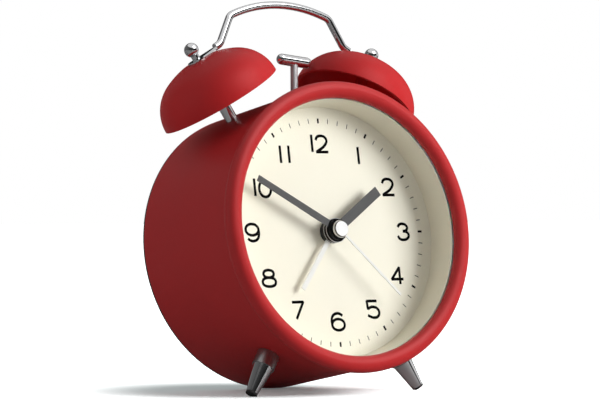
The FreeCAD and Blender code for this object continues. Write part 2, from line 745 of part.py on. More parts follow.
def meshing(phase, teeth, line, partner):
    """Phase of the partner wheel, in the direction of the line, whose teeth meet these."""
    ahead = (phase - line) % (360 / teeth)
    return line + 180 - ahead * teeth / partner + 180 / partner


def polar(distance, angle):
    return distance * cosine(angle), distance * sine(angle)


# Teeth
ROTOR_PINION_TEETH = 8
TRAIN_WHEEL_TEETH = 40
TRAIN_PINION_TEETH = 8
SECOND_WHEEL_TEETH = 48
SECOND_PINION_TEETH = 8
THIRD_WHEEL_TEETH = 60
THIRD_PINION_TEETH = 8
CENTER_WHEEL_TEETH = 64
MINUTE_PINION_TEETH = 15
MOTION_WHEEL_TEETH = 45
MOTION_PINION_TEETH = 12
HOUR_WHEEL_TEETH = 48
TIME_PINION_TEETH = 15
ALARM_WHEEL_TEETH = 28
ALARM_PINION_TEETH = 32

# Arbors in the clock frame, and the directions of their lines of centres, in degrees left of 3 o'clock
MOTION_LINE = -30
TIME_LINE = 30
THIRD_LINE = -90
TRAIN_LINE = 120
ROTOR_LINE = 90
motion_distance = sz.motion_module * (MINUTE_PINION_TEETH + MOTION_WHEEL_TEETH) / 2
motion_spot = polar(motion_distance, MOTION_LINE)
time_step = polar(sz.motion_module * (MOTION_WHEEL_TEETH + TIME_PINION_TEETH) / 2, TIME_LINE)
time_spot = (motion_spot[0] + time_step[0], motion_spot[1] + time_step[1])
alarm_spot = (-time_spot[0], time_spot[1])
third_distance = sz.fast_module * (SECOND_PINION_TEETH + THIRD_WHEEL_TEETH) / 2
third_spot = polar(third_distance, THIRD_LINE)
train_spot = polar(sz.fast_module * (TRAIN_PINION_TEETH + SECOND_WHEEL_TEETH) / 2, TRAIN_LINE)
rotor_spot = (train_spot[0], train_spot[1] + sz.fast_module * (ROTOR_PINION_TEETH + TRAIN_WHEEL_TEETH) / 2)
center_module = 2 * third_distance / (THIRD_PINION_TEETH + CENTER_WHEEL_TEETH)
alarm_module = -2 * alarm_spot[0] / (ALARM_WHEEL_TEETH + ALARM_PINION_TEETH)

# Hand tubes, one round the other
minute_tube_bore = sz.arbor_radius + sz.running_gap
minute_tube = minute_tube_bore + sz.tube_wall
hour_tube_bore = minute_tube + sz.running_gap
hour_tube = hour_tube_bore + sz.tube_wall
alarm_tube_bore = hour_tube + sz.running_gap
alarm_tube = alarm_tube_bore + sz.tube_wall
bushing_bore = alarm_tube + sz.running_gap
stub_bore = sz.stub_radius + sz.running_gap
stub_hub = 2 * sz.stub_radius

alarm_hub_top = dial_face + sz.alarm_hand_height + sz.hand_sheet
hour_hub_top = dial_face + sz.hour_hand_height + sz.hand_sheet
minute_hub_top = dial_face + sz.minute_hand_height + sz.hand_sheet
second_hub_top = dial_face + sz.second_hand_height


def wheels():
    """Every wheel of the train, with the phases that put teeth between teeth."""
    thick = float(sz.wheel_thickness)
    fast = float(sz.fast_module)
    motion = float(sz.motion_module)

    rotor_phase = ROTOR_LINE + 180
    train_phase = meshing(rotor_phase, ROTOR_PINION_TEETH, ROTOR_LINE + 180, TRAIN_WHEEL_TEETH)
    magnet_top = train_level - sz.wheel_gap
    geared("rotor", [
        toothed(ROTOR_PINION_TEETH, fast, rotor_phase, float(train_level), thick),
        tube(stub_hub, magnet_top, train_level),
        tube(sz.magnet_radius, magnet_top - 2 * thick, magnet_top)], stub_bore, at(*rotor_spot))

    pinion_phase = TRAIN_LINE + 180
    second_phase = meshing(pinion_phase, TRAIN_PINION_TEETH, TRAIN_LINE + 180, SECOND_WHEEL_TEETH)
    geared("intermediate_wheel", [
        toothed(TRAIN_WHEEL_TEETH, fast, train_phase, float(train_level), thick),
        tube(stub_hub, train_level - sz.wheel_gap / 3, second_level),
        toothed(TRAIN_PINION_TEETH, fast, pinion_phase, float(second_level), thick)],
        stub_bore, at(*train_spot))

    third_phase = meshing(THIRD_LINE, SECOND_PINION_TEETH, THIRD_LINE, THIRD_WHEEL_TEETH)
    geared("second_wheel", [
        toothed(SECOND_WHEEL_TEETH, fast, second_phase, float(second_level), thick),
        tube(sz.arbor_radius, room_back + sz.fit_gap, second_hub_top),
        toothed(SECOND_PINION_TEETH, fast, THIRD_LINE, float(third_level), thick)], None, at())

    center_phase = meshing(THIRD_LINE + 180, THIRD_PINION_TEETH, THIRD_LINE + 180, CENTER_WHEEL_TEETH)
    geared("third_wheel", [
        toothed(THIRD_WHEEL_TEETH, fast, third_phase, float(third_level), thick),
        tube(0.95 * stub_hub, third_level - sz.wheel_gap / 3, center_level),
        toothed(THIRD_PINION_TEETH, float(center_module), THIRD_LINE + 180, float(center_level), thick)],
        stub_bore, at(*third_spot))

    motion_phase = meshing(MOTION_LINE, MINUTE_PINION_TEETH, MOTION_LINE, MOTION_WHEEL_TEETH)
    geared("center_wheel", [
        toothed(CENTER_WHEEL_TEETH, float(center_module), center_phase, float(center_level), thick),
        tube(minute_tube, center_level, minute_hub_top),
        toothed(MINUTE_PINION_TEETH, motion, MOTION_LINE, float(motion_level), thick)],
        minute_tube_bore, at())

    hour_phase = meshing(MOTION_LINE + 180, MOTION_PINION_TEETH, MOTION_LINE + 180, HOUR_WHEEL_TEETH)
    geared("motion_wheel", [
        toothed(MOTION_WHEEL_TEETH, motion, motion_phase, float(motion_level), thick),
        tube(1.5 * stub_hub, motion_level, hour_level),
        toothed(MOTION_PINION_TEETH, motion, MOTION_LINE + 180, float(hour_level), thick)],
        stub_bore, at(*motion_spot))

    geared("hour_wheel", [
        toothed(HOUR_WHEEL_TEETH, motion, hour_phase, float(hour_level), thick),
        tube(hour_tube, hour_level, hour_hub_top)], hour_tube_bore, at())

    geared("alarm_wheel", [
        toothed(ALARM_WHEEL_TEETH, float(alarm_module), 0, float(alarm_level), thick),
        tube(alarm_tube, alarm_level, alarm_hub_top)], alarm_tube_bore, at())

    knob("time_knob", toothed(
        TIME_PINION_TEETH, motion, meshing(motion_phase, MOTION_WHEEL_TEETH, TIME_LINE, TIME_PINION_TEETH),
        float(motion_level), thick), motion_level, time_spot)
    knob("alarm_knob", toothed(
        ALARM_PINION_TEETH, float(alarm_module), meshing(0, ALARM_WHEEL_TEETH, 180, ALARM_PINION_TEETH),
        float(alarm_level), thick), alarm_level, alarm_spot)


def knob(name, pinion, front, spot):
    """A setting knob behind the clock, on a shaft that reaches its pinion in the movement."""
    flutes = 24
    flute = 2 * float(sz.knob_radius) / (flutes + 2 * TOOTH_TOP)
    grip = toothed(flutes, flute, 0, float(knob_top), float(sz.knob_height))
    face = tube(sz.knob_radius - TOOTH_DEPTH * flute, knob_top - sz.fit_gap, knob_top)
    shaft = tube(sz.shaft_radius, knob_top, front)
    geared(name, [pinion, shaft, grip, face], None, at(*spot))


def stub(name, spot, top, shoulder_top):
    """A fixed axle on the movement's back wall, with a shoulder that keeps its wheel off the wall."""
    axle = rod(name, sz.stub_radius, size(top) - room_back, at(*spot, room_back))
    shoulder = rod(name + "_shoulder", stub_hub, shoulder_top - room_back, at(*spot, room_back))
    return [axle, shoulder]


STATOR_HOLD = ((-20, 15), (8, 15))
BOARD_HOLD = ((16, 10), (25, 24))
BOARD_SIZE = (13, 18)
CRYSTAL_SIZE = (1, 6)


def movement():
    half = sz.movement_half
    inner = half - sz.movement_wall
    front = block("front_plate", (-half, -half, plate_back), (half, half, carrier_back))
    bushing = rod("bushing", sz.bushing_radius, sz.movement_plate + sz.bushing_height, at(z=plate_back))
    motion_axle = rod(
        "motion_axle", sz.stub_radius, plate_back - motion_level, at(*motion_spot, motion_level))
    bore = rod("bushing_hole", bushing_bore, 2 * sz.dial_depth, at(z=-2 * sz.dial_depth))
    piece("movement_front", less(
        "front_cut", joined("front_whole", [front, bushing, motion_axle]), [bore]), at())

    shell = less("rear_shell", block("rear_outside", (-half, -half, movement_back), (half, half, plate_back)),
                 [block("rear_room", (-inner, -inner, room_back), (inner, inner, 0))])
    third = sz.wheel_gap / 3
    stator_back = train_level - 2 * sz.wheel_gap - sz.wheel_thickness
    things = [shell, rod("second_boss", 2 * sz.arbor_radius, 2 * sz.wheel_gap, at(z=room_back))]
    things += stub("rotor_axle", rotor_spot, train_level + sz.wheel_thickness, room_back + third)
    things += stub("train_axle", train_spot, second_level + sz.wheel_thickness, train_level - 2 * third)
    things += stub("third_axle", third_spot, center_level + sz.wheel_thickness, third_level - 2 * third)
    for number, spot in enumerate(STATOR_HOLD + BOARD_HOLD):
        things.append(rod("boss_%d" % number, sz.shaft_radius, stator_back - room_back, at(*spot, room_back)))
    cuts = [rod("second_pocket", minute_tube_bore, 4 * sz.wheel_gap, at(z=room_back))]
    for number, spot in enumerate((time_spot, alarm_spot)):
        cuts.append(rod("shaft_hole_%d" % number, sz.shaft_radius + sz.running_gap, 4 * sz.movement_wall,
                        at(*spot, room_back - 2 * sz.movement_wall)))
    piece("movement_rear", less("rear_cut", joined("rear_whole", things), cuts), at())

    # The stator runs round the rotor, and the coil sits on its upper bar.
    bar_low = rotor_spot[1] + sz.magnet_radius + sz.stator_rise
    bar_high = bar_low + sz.stator_bar
    left = rotor_spot[0] - sz.stator_half
    right = rotor_spot[0] + sz.stator_half
    stator_front = stator_back + sz.wheel_thickness
    plate = block("stator_plate", (left, rotor_spot[1] - sz.magnet_radius - sz.stator_foot, stator_back),
                  (right, bar_high, stator_front))
    window_low = rotor_spot[1] + sz.magnet_radius + sz.window_edge
    window = block("stator_window", (left + sz.window_side, window_low, room_back),
                   (right - sz.window_side, bar_low, train_level))
    eye = rod("stator_eye", sz.magnet_radius + sz.stator_gap, sz.movement_depth, at(*rotor_spot, room_back))
    piece("stator", less("stator_cut", plate, [window, eye]), at())
    wound = sz.coil_wound
    coil_bar = block("coil_hole", (left, bar_low, stator_back), (right, bar_high, stator_front))
    winding = block("winding", (left + sz.coil_inset, bar_low - wound, stator_back - wound / 2),
                    (right - sz.coil_inset, bar_high + wound, stator_front + wound))
    piece("coil", less("coil_cut", winding, [coil_bar]), at())
    corner = [spot - sz.shaft_radius - 0.5 for spot in BOARD_HOLD[0]]
    board = block("board", (0, 0, 0), (*BOARD_SIZE, sz.wheel_thickness))
    piece("circuit_board", board, at(*corner, stator_back))
    laid = along_x(corner[0] + 3, corner[1] + 12, stator_back + sz.wheel_thickness + CRYSTAL_SIZE[0])
    piece("crystal", rod("crystal_can", *CRYSTAL_SIZE), laid)


# Hands

ALARM_TIME = 217
HOUR_TIME = 55
MINUTE_TIME = 300
SECOND_TIME = 135


def hand(name, bore, hub, hub_top, blade_top, length, widths, turn):
    """A hub with a flat blade that points along y before it is turned."""
    start = size(hub) - 1
    low = blade_top - sz.hand_sheet
    wide = widths[0] / 2
    narrow = widths[1] / 2
    blade = padded(name + "_blade", [(-wide, start), (wide, start), (narrow, length), (-narrow, length)],
                   low, blade_top)
    centre = ring(name + "_hub", bore, hub, hub_top - sz.hub_height, hub_top)
    piece(name, joined(name + "_whole", [centre, blade]), at(turn=turn))


def hands():
    half = sz.hand_sheet / 2
    hand("alarm_hand", alarm_tube, sz.big_hub_radius, alarm_hub_top, dial_face + sz.alarm_hand_height + half,
         sz.alarm_hand_length, (sz.alarm_hand_width, sz.alarm_hand_width), ALARM_TIME)
    hand("hour_hand", hour_tube, sz.big_hub_radius, hour_hub_top, dial_face + sz.hour_hand_height + half,
         sz.hour_hand_length, (sz.hour_hand_width, sz.hour_hand_width), HOUR_TIME)
    hand("minute_hand", minute_tube, sz.minute_hub_radius, minute_hub_top,
         dial_face + sz.minute_hand_height + half,
         sz.minute_hand_length, (sz.minute_hand_width, sz.minute_tip_width), MINUTE_TIME)
    hand("second_hand", sz.arbor_radius, sz.second_hub_radius, second_hub_top, second_hub_top - half,
         sz.second_hand_length, (sz.second_hand_width, sz.second_hand_width), SECOND_TIME)
    cap_top = second_hub_top + sz.cap_height
    piece("hand_cap", turned("hand_cap", [
        (0, second_hub_top), (sz.cap_radius, second_hub_top), (sz.cap_face_radius, cap_top),
        (0, cap_top)]), at())


# Hammer, its bracket and its motor

fork_middle = -sz.motor_front + sz.fork_thickness + 4 * sz.fit_gap + sz.bracket_sheet
fork_half = ((hammer_pivot - motor_height) * sine(sz.hammer_lean) + sz.crank_offset + sz.crank_pin
             + sz.fit_gap)


def hammer():
    plane = sz.hammer_plane
    hub_front = plane - sz.hammer_plane + sz.arm_radius + sz.fit_gap
    fork_front = fork_middle + sz.fork_thickness / 2 + plane
    fork_back = fork_front - sz.fork_thickness
    drop = hammer_pivot - motor_height
    up = Placement(Vector(0, 0, 0), Rotation(Vector(1, 0, 0), -90))
    arm = rod("arm_rod", sz.arm_radius, sz.hammer_reach, up)
    hub = rod("arm_hub", sz.hub_radius, hub_front - fork_back, at(z=fork_back))
    bore = rod("arm_bore", sz.pivot_radius + sz.running_gap, 2 * sz.motor_front, at(z=-sz.motor_front))
    neck_low = -drop + sz.crank_offset + sz.crank_pin + 3 * sz.fit_gap
    outer = fork_half + sz.fork_width
    neck = block("fork_neck", (-sz.arm_radius, neck_low, fork_back), (sz.arm_radius, 0, fork_front))
    bar = block("fork_bar", (-outer, neck_low, fork_back), (outer, neck_low + sz.fork_width, fork_front))
    low = -drop - sz.tine_reach
    tines = [block("fork_left", (-outer, low, fork_back), (-fork_half, neck_low, fork_front)),
             block("fork_right", (fork_half, low, fork_back), (outer, neck_low, fork_front))]
    whole = less("arm_cut", joined("arm_whole", [hub, arm, neck, bar] + tines), [bore])
    lean = at(0, hammer_pivot, -plane, sz.hammer_lean)
    piece("hammer_arm", whole, lean)

    edge = sz.head_edge
    head = turned("head_round", [
        (0, -sz.head_half), (sz.head_radius - edge, -sz.head_half),
        (sz.head_radius, edge - sz.head_half, edge, 1), (sz.head_radius, sz.head_half - edge),
        (sz.head_radius - edge, sz.head_half, edge, 1), (0, sz.head_half)])
    head.Placement = Placement(Vector(0, float(sz.hammer_reach), 0), Rotation(Vector(0, 1, 0), 90))
    arm_hole = rod("head_hole", sz.arm_radius, sz.hammer_reach, up)
    piece("hammer_head", less("head_cut", head, [arm_hole]), lean)

    sheet_front = -plane + hub_front + sz.fit_gap + sz.bracket_sheet
    sheet_back = sheet_front - sz.bracket_sheet
    wide = sz.bracket_half
    web = block("bracket_web", (-wide, hammer_pivot - sz.bracket_low, sheet_back),
                (wide, bracket_top, sheet_front))
    flange = block("bracket_flange_block", (-wide, bracket_top - sz.bracket_sheet, sheet_front),
                   (wide, bracket_top, sheet_front + sz.bracket_flange))
    hole = rod("bracket_hole", sz.pivot_radius, 2 * sz.motor_front, at(0, hammer_pivot, -sz.motor_front))
    piece("hammer_bracket", less("bracket_cut", joined("bracket_whole", [web, flange]), [hole]), at())
    pin_back = -plane + fork_back - sz.fit_gap
    piece("hammer_pin", turned("hammer_pin", [
        (0, pin_back - sz.bracket_sheet), (sz.pivot_head, pin_back - sz.bracket_sheet),
        (sz.pivot_head, pin_back),
        (sz.pivot_radius, pin_back), (sz.pivot_radius, sheet_front), (0, sheet_front)]),
        at(0, hammer_pivot, 0))


def motor():
    front = -sz.motor_front
    place = at(0, motor_height, 0)
    depth = sz.shaft_depth
    bore = sz.motor_shaft + sz.running_gap
    piece("alarm_motor", turned("alarm_motor", [
        (0, front - sz.motor_length), (sz.motor_radius, front - sz.motor_length), (sz.motor_radius, front),
        (bore, front), (bore, front - depth), (0, front - depth)]), place)
    disc_back = front + 2 * sz.fit_gap
    disc_front = disc_back + sz.fork_width
    pin_front = fork_middle + sz.fork_thickness / 2 + sz.fit_gap
    shaft_low = front - depth + sz.fit_gap
    shaft = rod("crank_shaft", sz.motor_shaft, disc_back - shaft_low, at(z=shaft_low))
    disc = rod("crank_plate", sz.crank_disc, disc_front - disc_back, at(z=disc_back))
    peg = rod("crank_peg", sz.crank_pin, pin_front - disc_back, at(0, sz.crank_offset, disc_back))
    piece("motor_crank", joined("crank_whole", [shaft, disc, peg]), place)


# Back cover, batteries, door and switch

room_half = sz.cell_length / 2 + sz.nub_length / 2 + sz.contact_room
room_high = 4 * sz.cell_radius + 3 * sz.cell_gap - box_low
room_front = cover_back + 2 * sz.cell_radius + 2 * sz.cell_gap
hinge_height = -box_low - sz.hinge_drop
hinge_depth = cover_back - sz.lid_gap - sz.hinge_radius


def back_cover():
    wall = sz.box_wall
    disc = rod("cover_disc", cover_radius, sz.cover_thickness, at(z=cover_back))
    box = block("battery_box", (-room_half - wall, -box_low - wall, cover_back),
                (room_half + wall, room_high + wall, room_front + wall))
    cup_bore = sz.motor_radius + sz.lid_gap
    cup = rod("motor_cup", cup_bore + sz.cup_wall, sz.cup_depth, at(0, motor_height, cover_front))
    solids = [disc, box, cup]
    cuts = [
        block("battery_room", (-room_half, -box_low, cover_back - wall), (room_half, room_high, room_front)),
        rod("cup_room", cup_bore, sz.cup_depth, at(0, motor_height, cover_front)),
        block("switch_slot", (-sz.switch_travel / 2 - sz.stem_half - sz.fit_gap, -sz.stem_rise - sz.fit_gap,
                              cover_back - wall),
              (sz.switch_travel / 2 + sz.stem_half + sz.fit_gap, sz.stem_rise + sz.fit_gap,
               cover_front + wall)),
        below_table("cover_table", at())]
    for side in (-1, 1):
        inner = side * (sz.barrel_half + sz.ear_gap)
        outer = side * (sz.barrel_half + sz.ear_gap + sz.ear_thickness)
        low, high = (outer, inner) if side < 0 else (inner, outer)
        solids.append(block(
            "ear_%d" % side, (low, hinge_height - sz.hinge_radius, hinge_depth - sz.hinge_radius),
            (high, hinge_height + sz.hinge_radius, cover_front)))
        cuts.append(rod("ear_hole_%d" % side, sz.hinge_pin_radius + sz.running_gap, 2 * sz.ear_thickness,
                        along_x(low - sz.ear_thickness / 2, hinge_height, hinge_depth)))
    for number, spot in enumerate((time_spot, alarm_spot)):
        cuts.append(rod("knob_hole_%d" % number, sz.shaft_radius + sz.fit_gap, 4 * wall,
                        at(*spot, cover_back - wall)))
    for number in range(4):
        place = at(turn=45 + 90 * number) * at(y=screw_circle, z=cover_back - wall)
        cuts.append(rod("cover_hole_%d" % number, sz.screw_radius + sz.hole_gap, 4 * wall, place))
    piece("back_cover", less("cover_cut", joined("cover_whole", solids), cuts), at())


def cover_screw(name):
    tip = sz.screw_length
    edge = sz.screw_head_height / 2
    shape = turned(name + "_round", [
        (0, tip), (sz.screw_radius, tip), (sz.screw_radius, 0), (sz.screw_head_radius, 0),
        (sz.screw_head_radius, -edge), (sz.screw_head_radius - edge, -2 * edge, edge, -1), (0, -2 * edge)])
    half = sz.slot_width / 2
    floor = sz.slot_depth - sz.screw_head_height
    over = -sz.screw_head_height - sz.slot_depth
    slots = [block(name + "_slot_across", (-sz.slot_half, -half, over), (sz.slot_half, half, floor)),
             block(name + "_slot_up", (-half, -sz.slot_half, over), (half, sz.slot_half, floor))]
    return less(name, shape, slots)


def cover_screws():
    places = [at(turn=45 + 90 * number) * at(y=screw_circle, z=cover_back) for number in range(4)]
    group("cover_screws", [cover_screw("screw_%d" % number) for number in range(4)], places)


def batteries():
    depth = cover_back + sz.cell_gap + sz.cell_radius
    heights = [
        sz.cell_gap * (number + 1) + sz.cell_radius * (2 * number + 1) - box_low
        for number in range(2)]
    springs = []
    places = []
    for number, height in enumerate(heights):
        side = 1 - 2 * number
        start = -(sz.cell_length + sz.nub_length) / 2
        can = rod("can_%d" % number, sz.cell_radius, sz.cell_length, at(z=start))
        nub = rod("nub_%d" % number, sz.nub_radius, sz.cell_length + sz.nub_length, at(z=start))
        place = at(0, height, depth) * Placement(Vector(), Rotation(Vector(0, 1, 0), 90 * side))
        piece("battery_%d" % (number + 1), joined("cell_%d" % number, [can, nub]), place)
        for end in (-1, 1):
            label = "%d_%d" % (number, end)
            half = sz.contact_width / 2
            reach = sz.contact_room - sz.fit_gap
            strip = block("strip_" + label, (-half, -half, 0), (half, half, sz.contact_sheet))
            coil = rod("spring_" + label, sz.spring_radius, reach)
            springs.append(joined("contact_" + label, [strip, coil]))
            turn = Placement(Vector(), Rotation(Vector(0, 1, 0), -90 * end))
            places.append(at(end * float(room_half), height, depth) * turn)
    group("battery_contacts", springs, places)


def battery_door():
    """The door lies on the cover and swings down on two stub pins."""
    inner = hinge_depth + sz.hinge_radius
    outer = inner - sz.lid_thickness
    half = room_half + sz.lid_overlap
    edge = hinge_height + sz.lid_step
    plate = block("door_plate", (-half, edge, outer), (half, room_high + sz.lid_overlap, inner))
    tongue = block("door_tongue", (-sz.barrel_half, hinge_height, outer), (sz.barrel_half, edge, inner))
    barrel = rod("door_barrel", sz.hinge_radius, 2 * sz.barrel_half,
                 along_x(-sz.barrel_half, hinge_height, hinge_depth))
    reach = sz.barrel_half + sz.ear_gap + sz.ear_thickness
    pins = rod("door_pins", sz.hinge_pin_radius, 2 * reach, along_x(-reach, hinge_height, hinge_depth))
    ribs = []
    for number in range(3):
        top = room_high + sz.lid_overlap - sz.rib_drop - number * sz.rib_pitch
        ribs.append(block("door_rib_%d" % number, (-sz.rib_half, top - sz.rib_width, outer - sz.rib_height),
                          (sz.rib_half, top, inner)))
    piece("battery_door", joined("door_whole", [plate, tongue, barrel, pins] + ribs), at())


def alarm_switch():
    """A slider in a small housing, shown at the end of its travel to the viewer's left."""
    rest = -sz.switch_travel / 2
    slider_back = cover_front + 2 * sz.lid_gap
    slider = block("slider", (rest - sz.slider_half, -sz.slider_rise, slider_back),
                   (rest + sz.slider_half, sz.slider_rise, slider_back + sz.slider_thickness))
    thumb_front = cover_back - sz.fit_gap
    stem = block("slider_stem", (rest - sz.stem_half, -sz.stem_rise, thumb_front),
                 (rest + sz.stem_half, sz.stem_rise, slider_back))
    thumb = block("slider_thumb", (rest - sz.thumb_half, -sz.thumb_rise, thumb_front - sz.thumb_height),
                  (rest + sz.thumb_half, sz.thumb_rise, thumb_front))
    grooves = []
    for number in (-1, 0, 1):
        middle = rest + number * sz.groove_pitch
        grooves.append(block(
            "thumb_groove_%d" % number,
            (middle - sz.groove_width / 2, -2 * sz.thumb_rise, thumb_front - 2 * sz.thumb_height),
            (middle + sz.groove_width / 2, 2 * sz.thumb_rise,
             thumb_front - sz.thumb_height + sz.groove_depth)))
    whole = joined("switch_whole", [slider, stem, thumb])
    piece("alarm_switch", less("switch_cut", whole, grooves), at())
    far = sz.switch_travel / 2 + sz.slider_half + sz.fit_gap
    high = sz.slider_rise + sz.fit_gap
    front = slider_back + sz.slider_thickness + sz.fit_gap
    wall = sz.movement_wall
    outside = block(
        "housing_outside", (-far - wall, -high - wall, cover_front), (far + wall, high + wall, front + wall))
    room = block("housing_room", (-far, -high, cover_back), (far, high, front))
    piece("switch_housing", less("housing_cut", outside, [room]), at())


case_shell()
glass_and_dial()
for name, side in (("left", -1), ("right", 1)):
    bell(name + "_bell", side)
    bell_post(name + "_bell_post", side)
    foot(name + "_foot", side)
bell_fixings()
handle()
foot_fixings()
wheels()
movement()
hands()
hammer()
motor()
back_cover()
cover_screws()
batteries()
battery_door()
alarm_switch()
doc.recompute()

for thing in doc.Objects:
    if "Invalid" in thing.State or "Error" in thing.State:
        raise RuntimeError("%s did not build" % thing.Name)
for name, thing in pieces.items():
    if thing.Shape.isNull() or not thing.Shape.isValid():
        raise RuntimeError("%s is not a valid solid" % name)
os.makedirs("parts", exist_ok=True)
for name, thing in pieces.items():
    thing.Shape.exportStep("parts/%s.step" % name)
    print("%-20s %2d solids %10.1f mm3" % (name, len(thing.Shape.Solids), thing.Shape.Volume))
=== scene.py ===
"""Looks of the twin bell alarm clock, section by section as the clock is put together."""
from math import cos, radians, sin

import bpy
from mathutils import Euler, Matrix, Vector


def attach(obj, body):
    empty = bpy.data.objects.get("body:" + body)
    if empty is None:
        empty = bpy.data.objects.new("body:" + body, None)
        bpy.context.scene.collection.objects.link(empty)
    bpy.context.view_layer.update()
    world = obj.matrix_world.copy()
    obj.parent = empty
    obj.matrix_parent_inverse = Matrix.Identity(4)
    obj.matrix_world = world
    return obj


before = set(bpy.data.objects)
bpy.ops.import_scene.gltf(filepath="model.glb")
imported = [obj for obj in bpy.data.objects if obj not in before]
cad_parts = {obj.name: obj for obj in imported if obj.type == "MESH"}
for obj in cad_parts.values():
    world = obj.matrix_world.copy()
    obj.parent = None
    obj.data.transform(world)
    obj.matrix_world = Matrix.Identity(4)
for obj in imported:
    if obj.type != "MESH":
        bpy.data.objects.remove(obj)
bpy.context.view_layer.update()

# Camera.
# A long lens from the clock's front left, level with the middle of the case, as the photograph was taken.
CAMERA_PLACE = (-0.75737, -1.07565, 0.07886)
CAMERA_TURN = (radians(89.8829), radians(-0.0122), radians(-35.0242))
LENS = 197.70
FILM_WIDTH = 36.0
VIEW_END = 20.0

bpy.ops.object.camera_add(location=CAMERA_PLACE, rotation=CAMERA_TURN)
camera = bpy.context.object
camera.data.lens = LENS
camera.data.sensor_width = FILM_WIDTH
camera.data.clip_end = VIEW_END
bpy.context.scene.camera = camera
bpy.context.scene.view_settings.view_transform = "Standard"

# Case.
# The real case is a drawn steel drum with a rolled front bezel, powder coated in a satin deep red.
# The coat has a fine orange-peel skin, and its tone and gloss change a little in slow patches.
POWDER_RED = (0.46, 0.014, 0.016, 1)


def add_nodes(tree, *kinds):
    """New nodes of these kinds in a tree, in order."""
    return [tree.nodes.new("ShaderNode" + kind) for kind in kinds]


def skin_group():
    """Slow change of tone and gloss over a surface, and the height of its fine grain."""
    group = bpy.data.node_groups.new("Skin", "ShaderNodeTree")
    plug = group.interface.new_socket
    plug("Color", in_out="INPUT", socket_type="NodeSocketColor")
    for name in ("Tone", "Patches", "Grain", "Roughness", "Spread"):
        plug(name, in_out="INPUT", socket_type="NodeSocketFloat")
    plug("Color", in_out="OUTPUT", socket_type="NodeSocketColor")
    plug("Roughness", in_out="OUTPUT", socket_type="NodeSocketFloat")
    plug("Height", in_out="OUTPUT", socket_type="NodeSocketFloat")
    given, result = group.nodes.new("NodeGroupInput"), group.nodes.new("NodeGroupOutput")
    place, patches, grain = add_nodes(group, "TexCoord", "TexNoise", "TexNoise")
    centred, tone, shade, gloss, speck, total = add_nodes(
        group, "Math", "Math", "HueSaturation", "Math", "Math", "Math")
    patches.inputs["Detail"].default_value = 4.0
    grain.inputs["Detail"].default_value = 2.0
    centred.operation, centred.inputs[1].default_value = "SUBTRACT", 0.5
    tone.operation, tone.inputs[2].default_value = "MULTIPLY_ADD", 1.0
    gloss.operation = "MULTIPLY_ADD"
    speck.operation, speck.inputs[1].default_value = "SUBTRACT", 0.5
    total.operation = "MULTIPLY_ADD"
    link = group.links.new
    for noise, scale in ((patches, "Patches"), (grain, "Grain")):
        link(place.outputs["Object"], noise.inputs["Vector"])
        link(given.outputs[scale], noise.inputs["Scale"])
    link(patches.outputs["Fac"], centred.inputs[0])
    link(centred.outputs[0], tone.inputs[0])
    link(given.outputs["Tone"], tone.inputs[1])
    link(tone.outputs[0], shade.inputs["Value"])
    link(given.outputs["Color"], shade.inputs["Color"])
    link(centred.outputs[0], gloss.inputs[0])
    link(given.outputs["Spread"], gloss.inputs[1])
    link(given.outputs["Roughness"], gloss.inputs[2])
    link(grain.outputs["Fac"], speck.inputs[0])
    link(speck.outputs[0], total.inputs[0])
    link(given.outputs["Spread"], total.inputs[1])
    link(gloss.outputs[0], total.inputs[2])
    link(shade.outputs["Color"], result.inputs["Color"])
    link(total.outputs[0], result.inputs["Roughness"])
    link(grain.outputs["Fac"], result.inputs["Height"])
    return group


SKIN = skin_group()


def graph(material):
    """The nodes of a material, and its shader."""
    tree = material.node_tree
    return tree, tree.nodes["Principled BSDF"]


def finish(name, color, roughness, tone, patches, grain, spread, relief, specular=0.5, metallic=0.0):
    """A material with the shared skin. Relief is the height of its grain in metres."""
    material = bpy.data.materials.new(name)
    material.use_nodes = True
    tree, shader = graph(material)
    shader.inputs["Specular IOR Level"].default_value = specular
    shader.inputs["Metallic"].default_value = metallic
    skin = tree.nodes.new("ShaderNodeGroup")
    skin.node_tree = SKIN
    skin.name = "Skin"
    bump = tree.nodes.new("ShaderNodeBump")
    bump.name = "Bump"
    values = dict(Color=color, Tone=tone, Patches=patches, Grain=grain, Roughness=roughness, Spread=spread)
    for socket, value in values.items():
        skin.inputs[socket].default_value = value
    bump.inputs["Distance"].default_value = relief
    tree.links.new(skin.outputs["Color"], shader.inputs["Base Color"])
    tree.links.new(skin.outputs["Roughness"], shader.inputs["Roughness"])
    tree.links.new(skin.outputs["Height"], bump.inputs["Height"])
    tree.links.new(bump.outputs["Normal"], shader.inputs["Normal"])
    return material


def dress(material, *names):
    """Gives the material to every slot of these parts."""
    for name in names:
        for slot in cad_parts[name].material_slots:
            slot.material = material


powder = finish(
    "powder_red", POWDER_RED, roughness=0.49, tone=0.10, patches=45.0, grain=1500.0,
    spread=0.10, relief=0.00003, specular=0.42)
dress(powder, "case_shell")

# Front glass.
# A domed clear lens snapped into a thin soft seal behind the bezel's lip. Light goes straight through it on
# its way to the dial, so that the dial is lit and shaded as if the glass were thin.
GLASS_TINT = (0.985, 0.99, 0.985, 1)
GLASS_INDEX = 1.45
SMEAR_SCALE = 35.0
SMEAR_ROUGHNESS = 0.02
SEAL_CREAM = (0.92, 0.86, 0.78, 1)

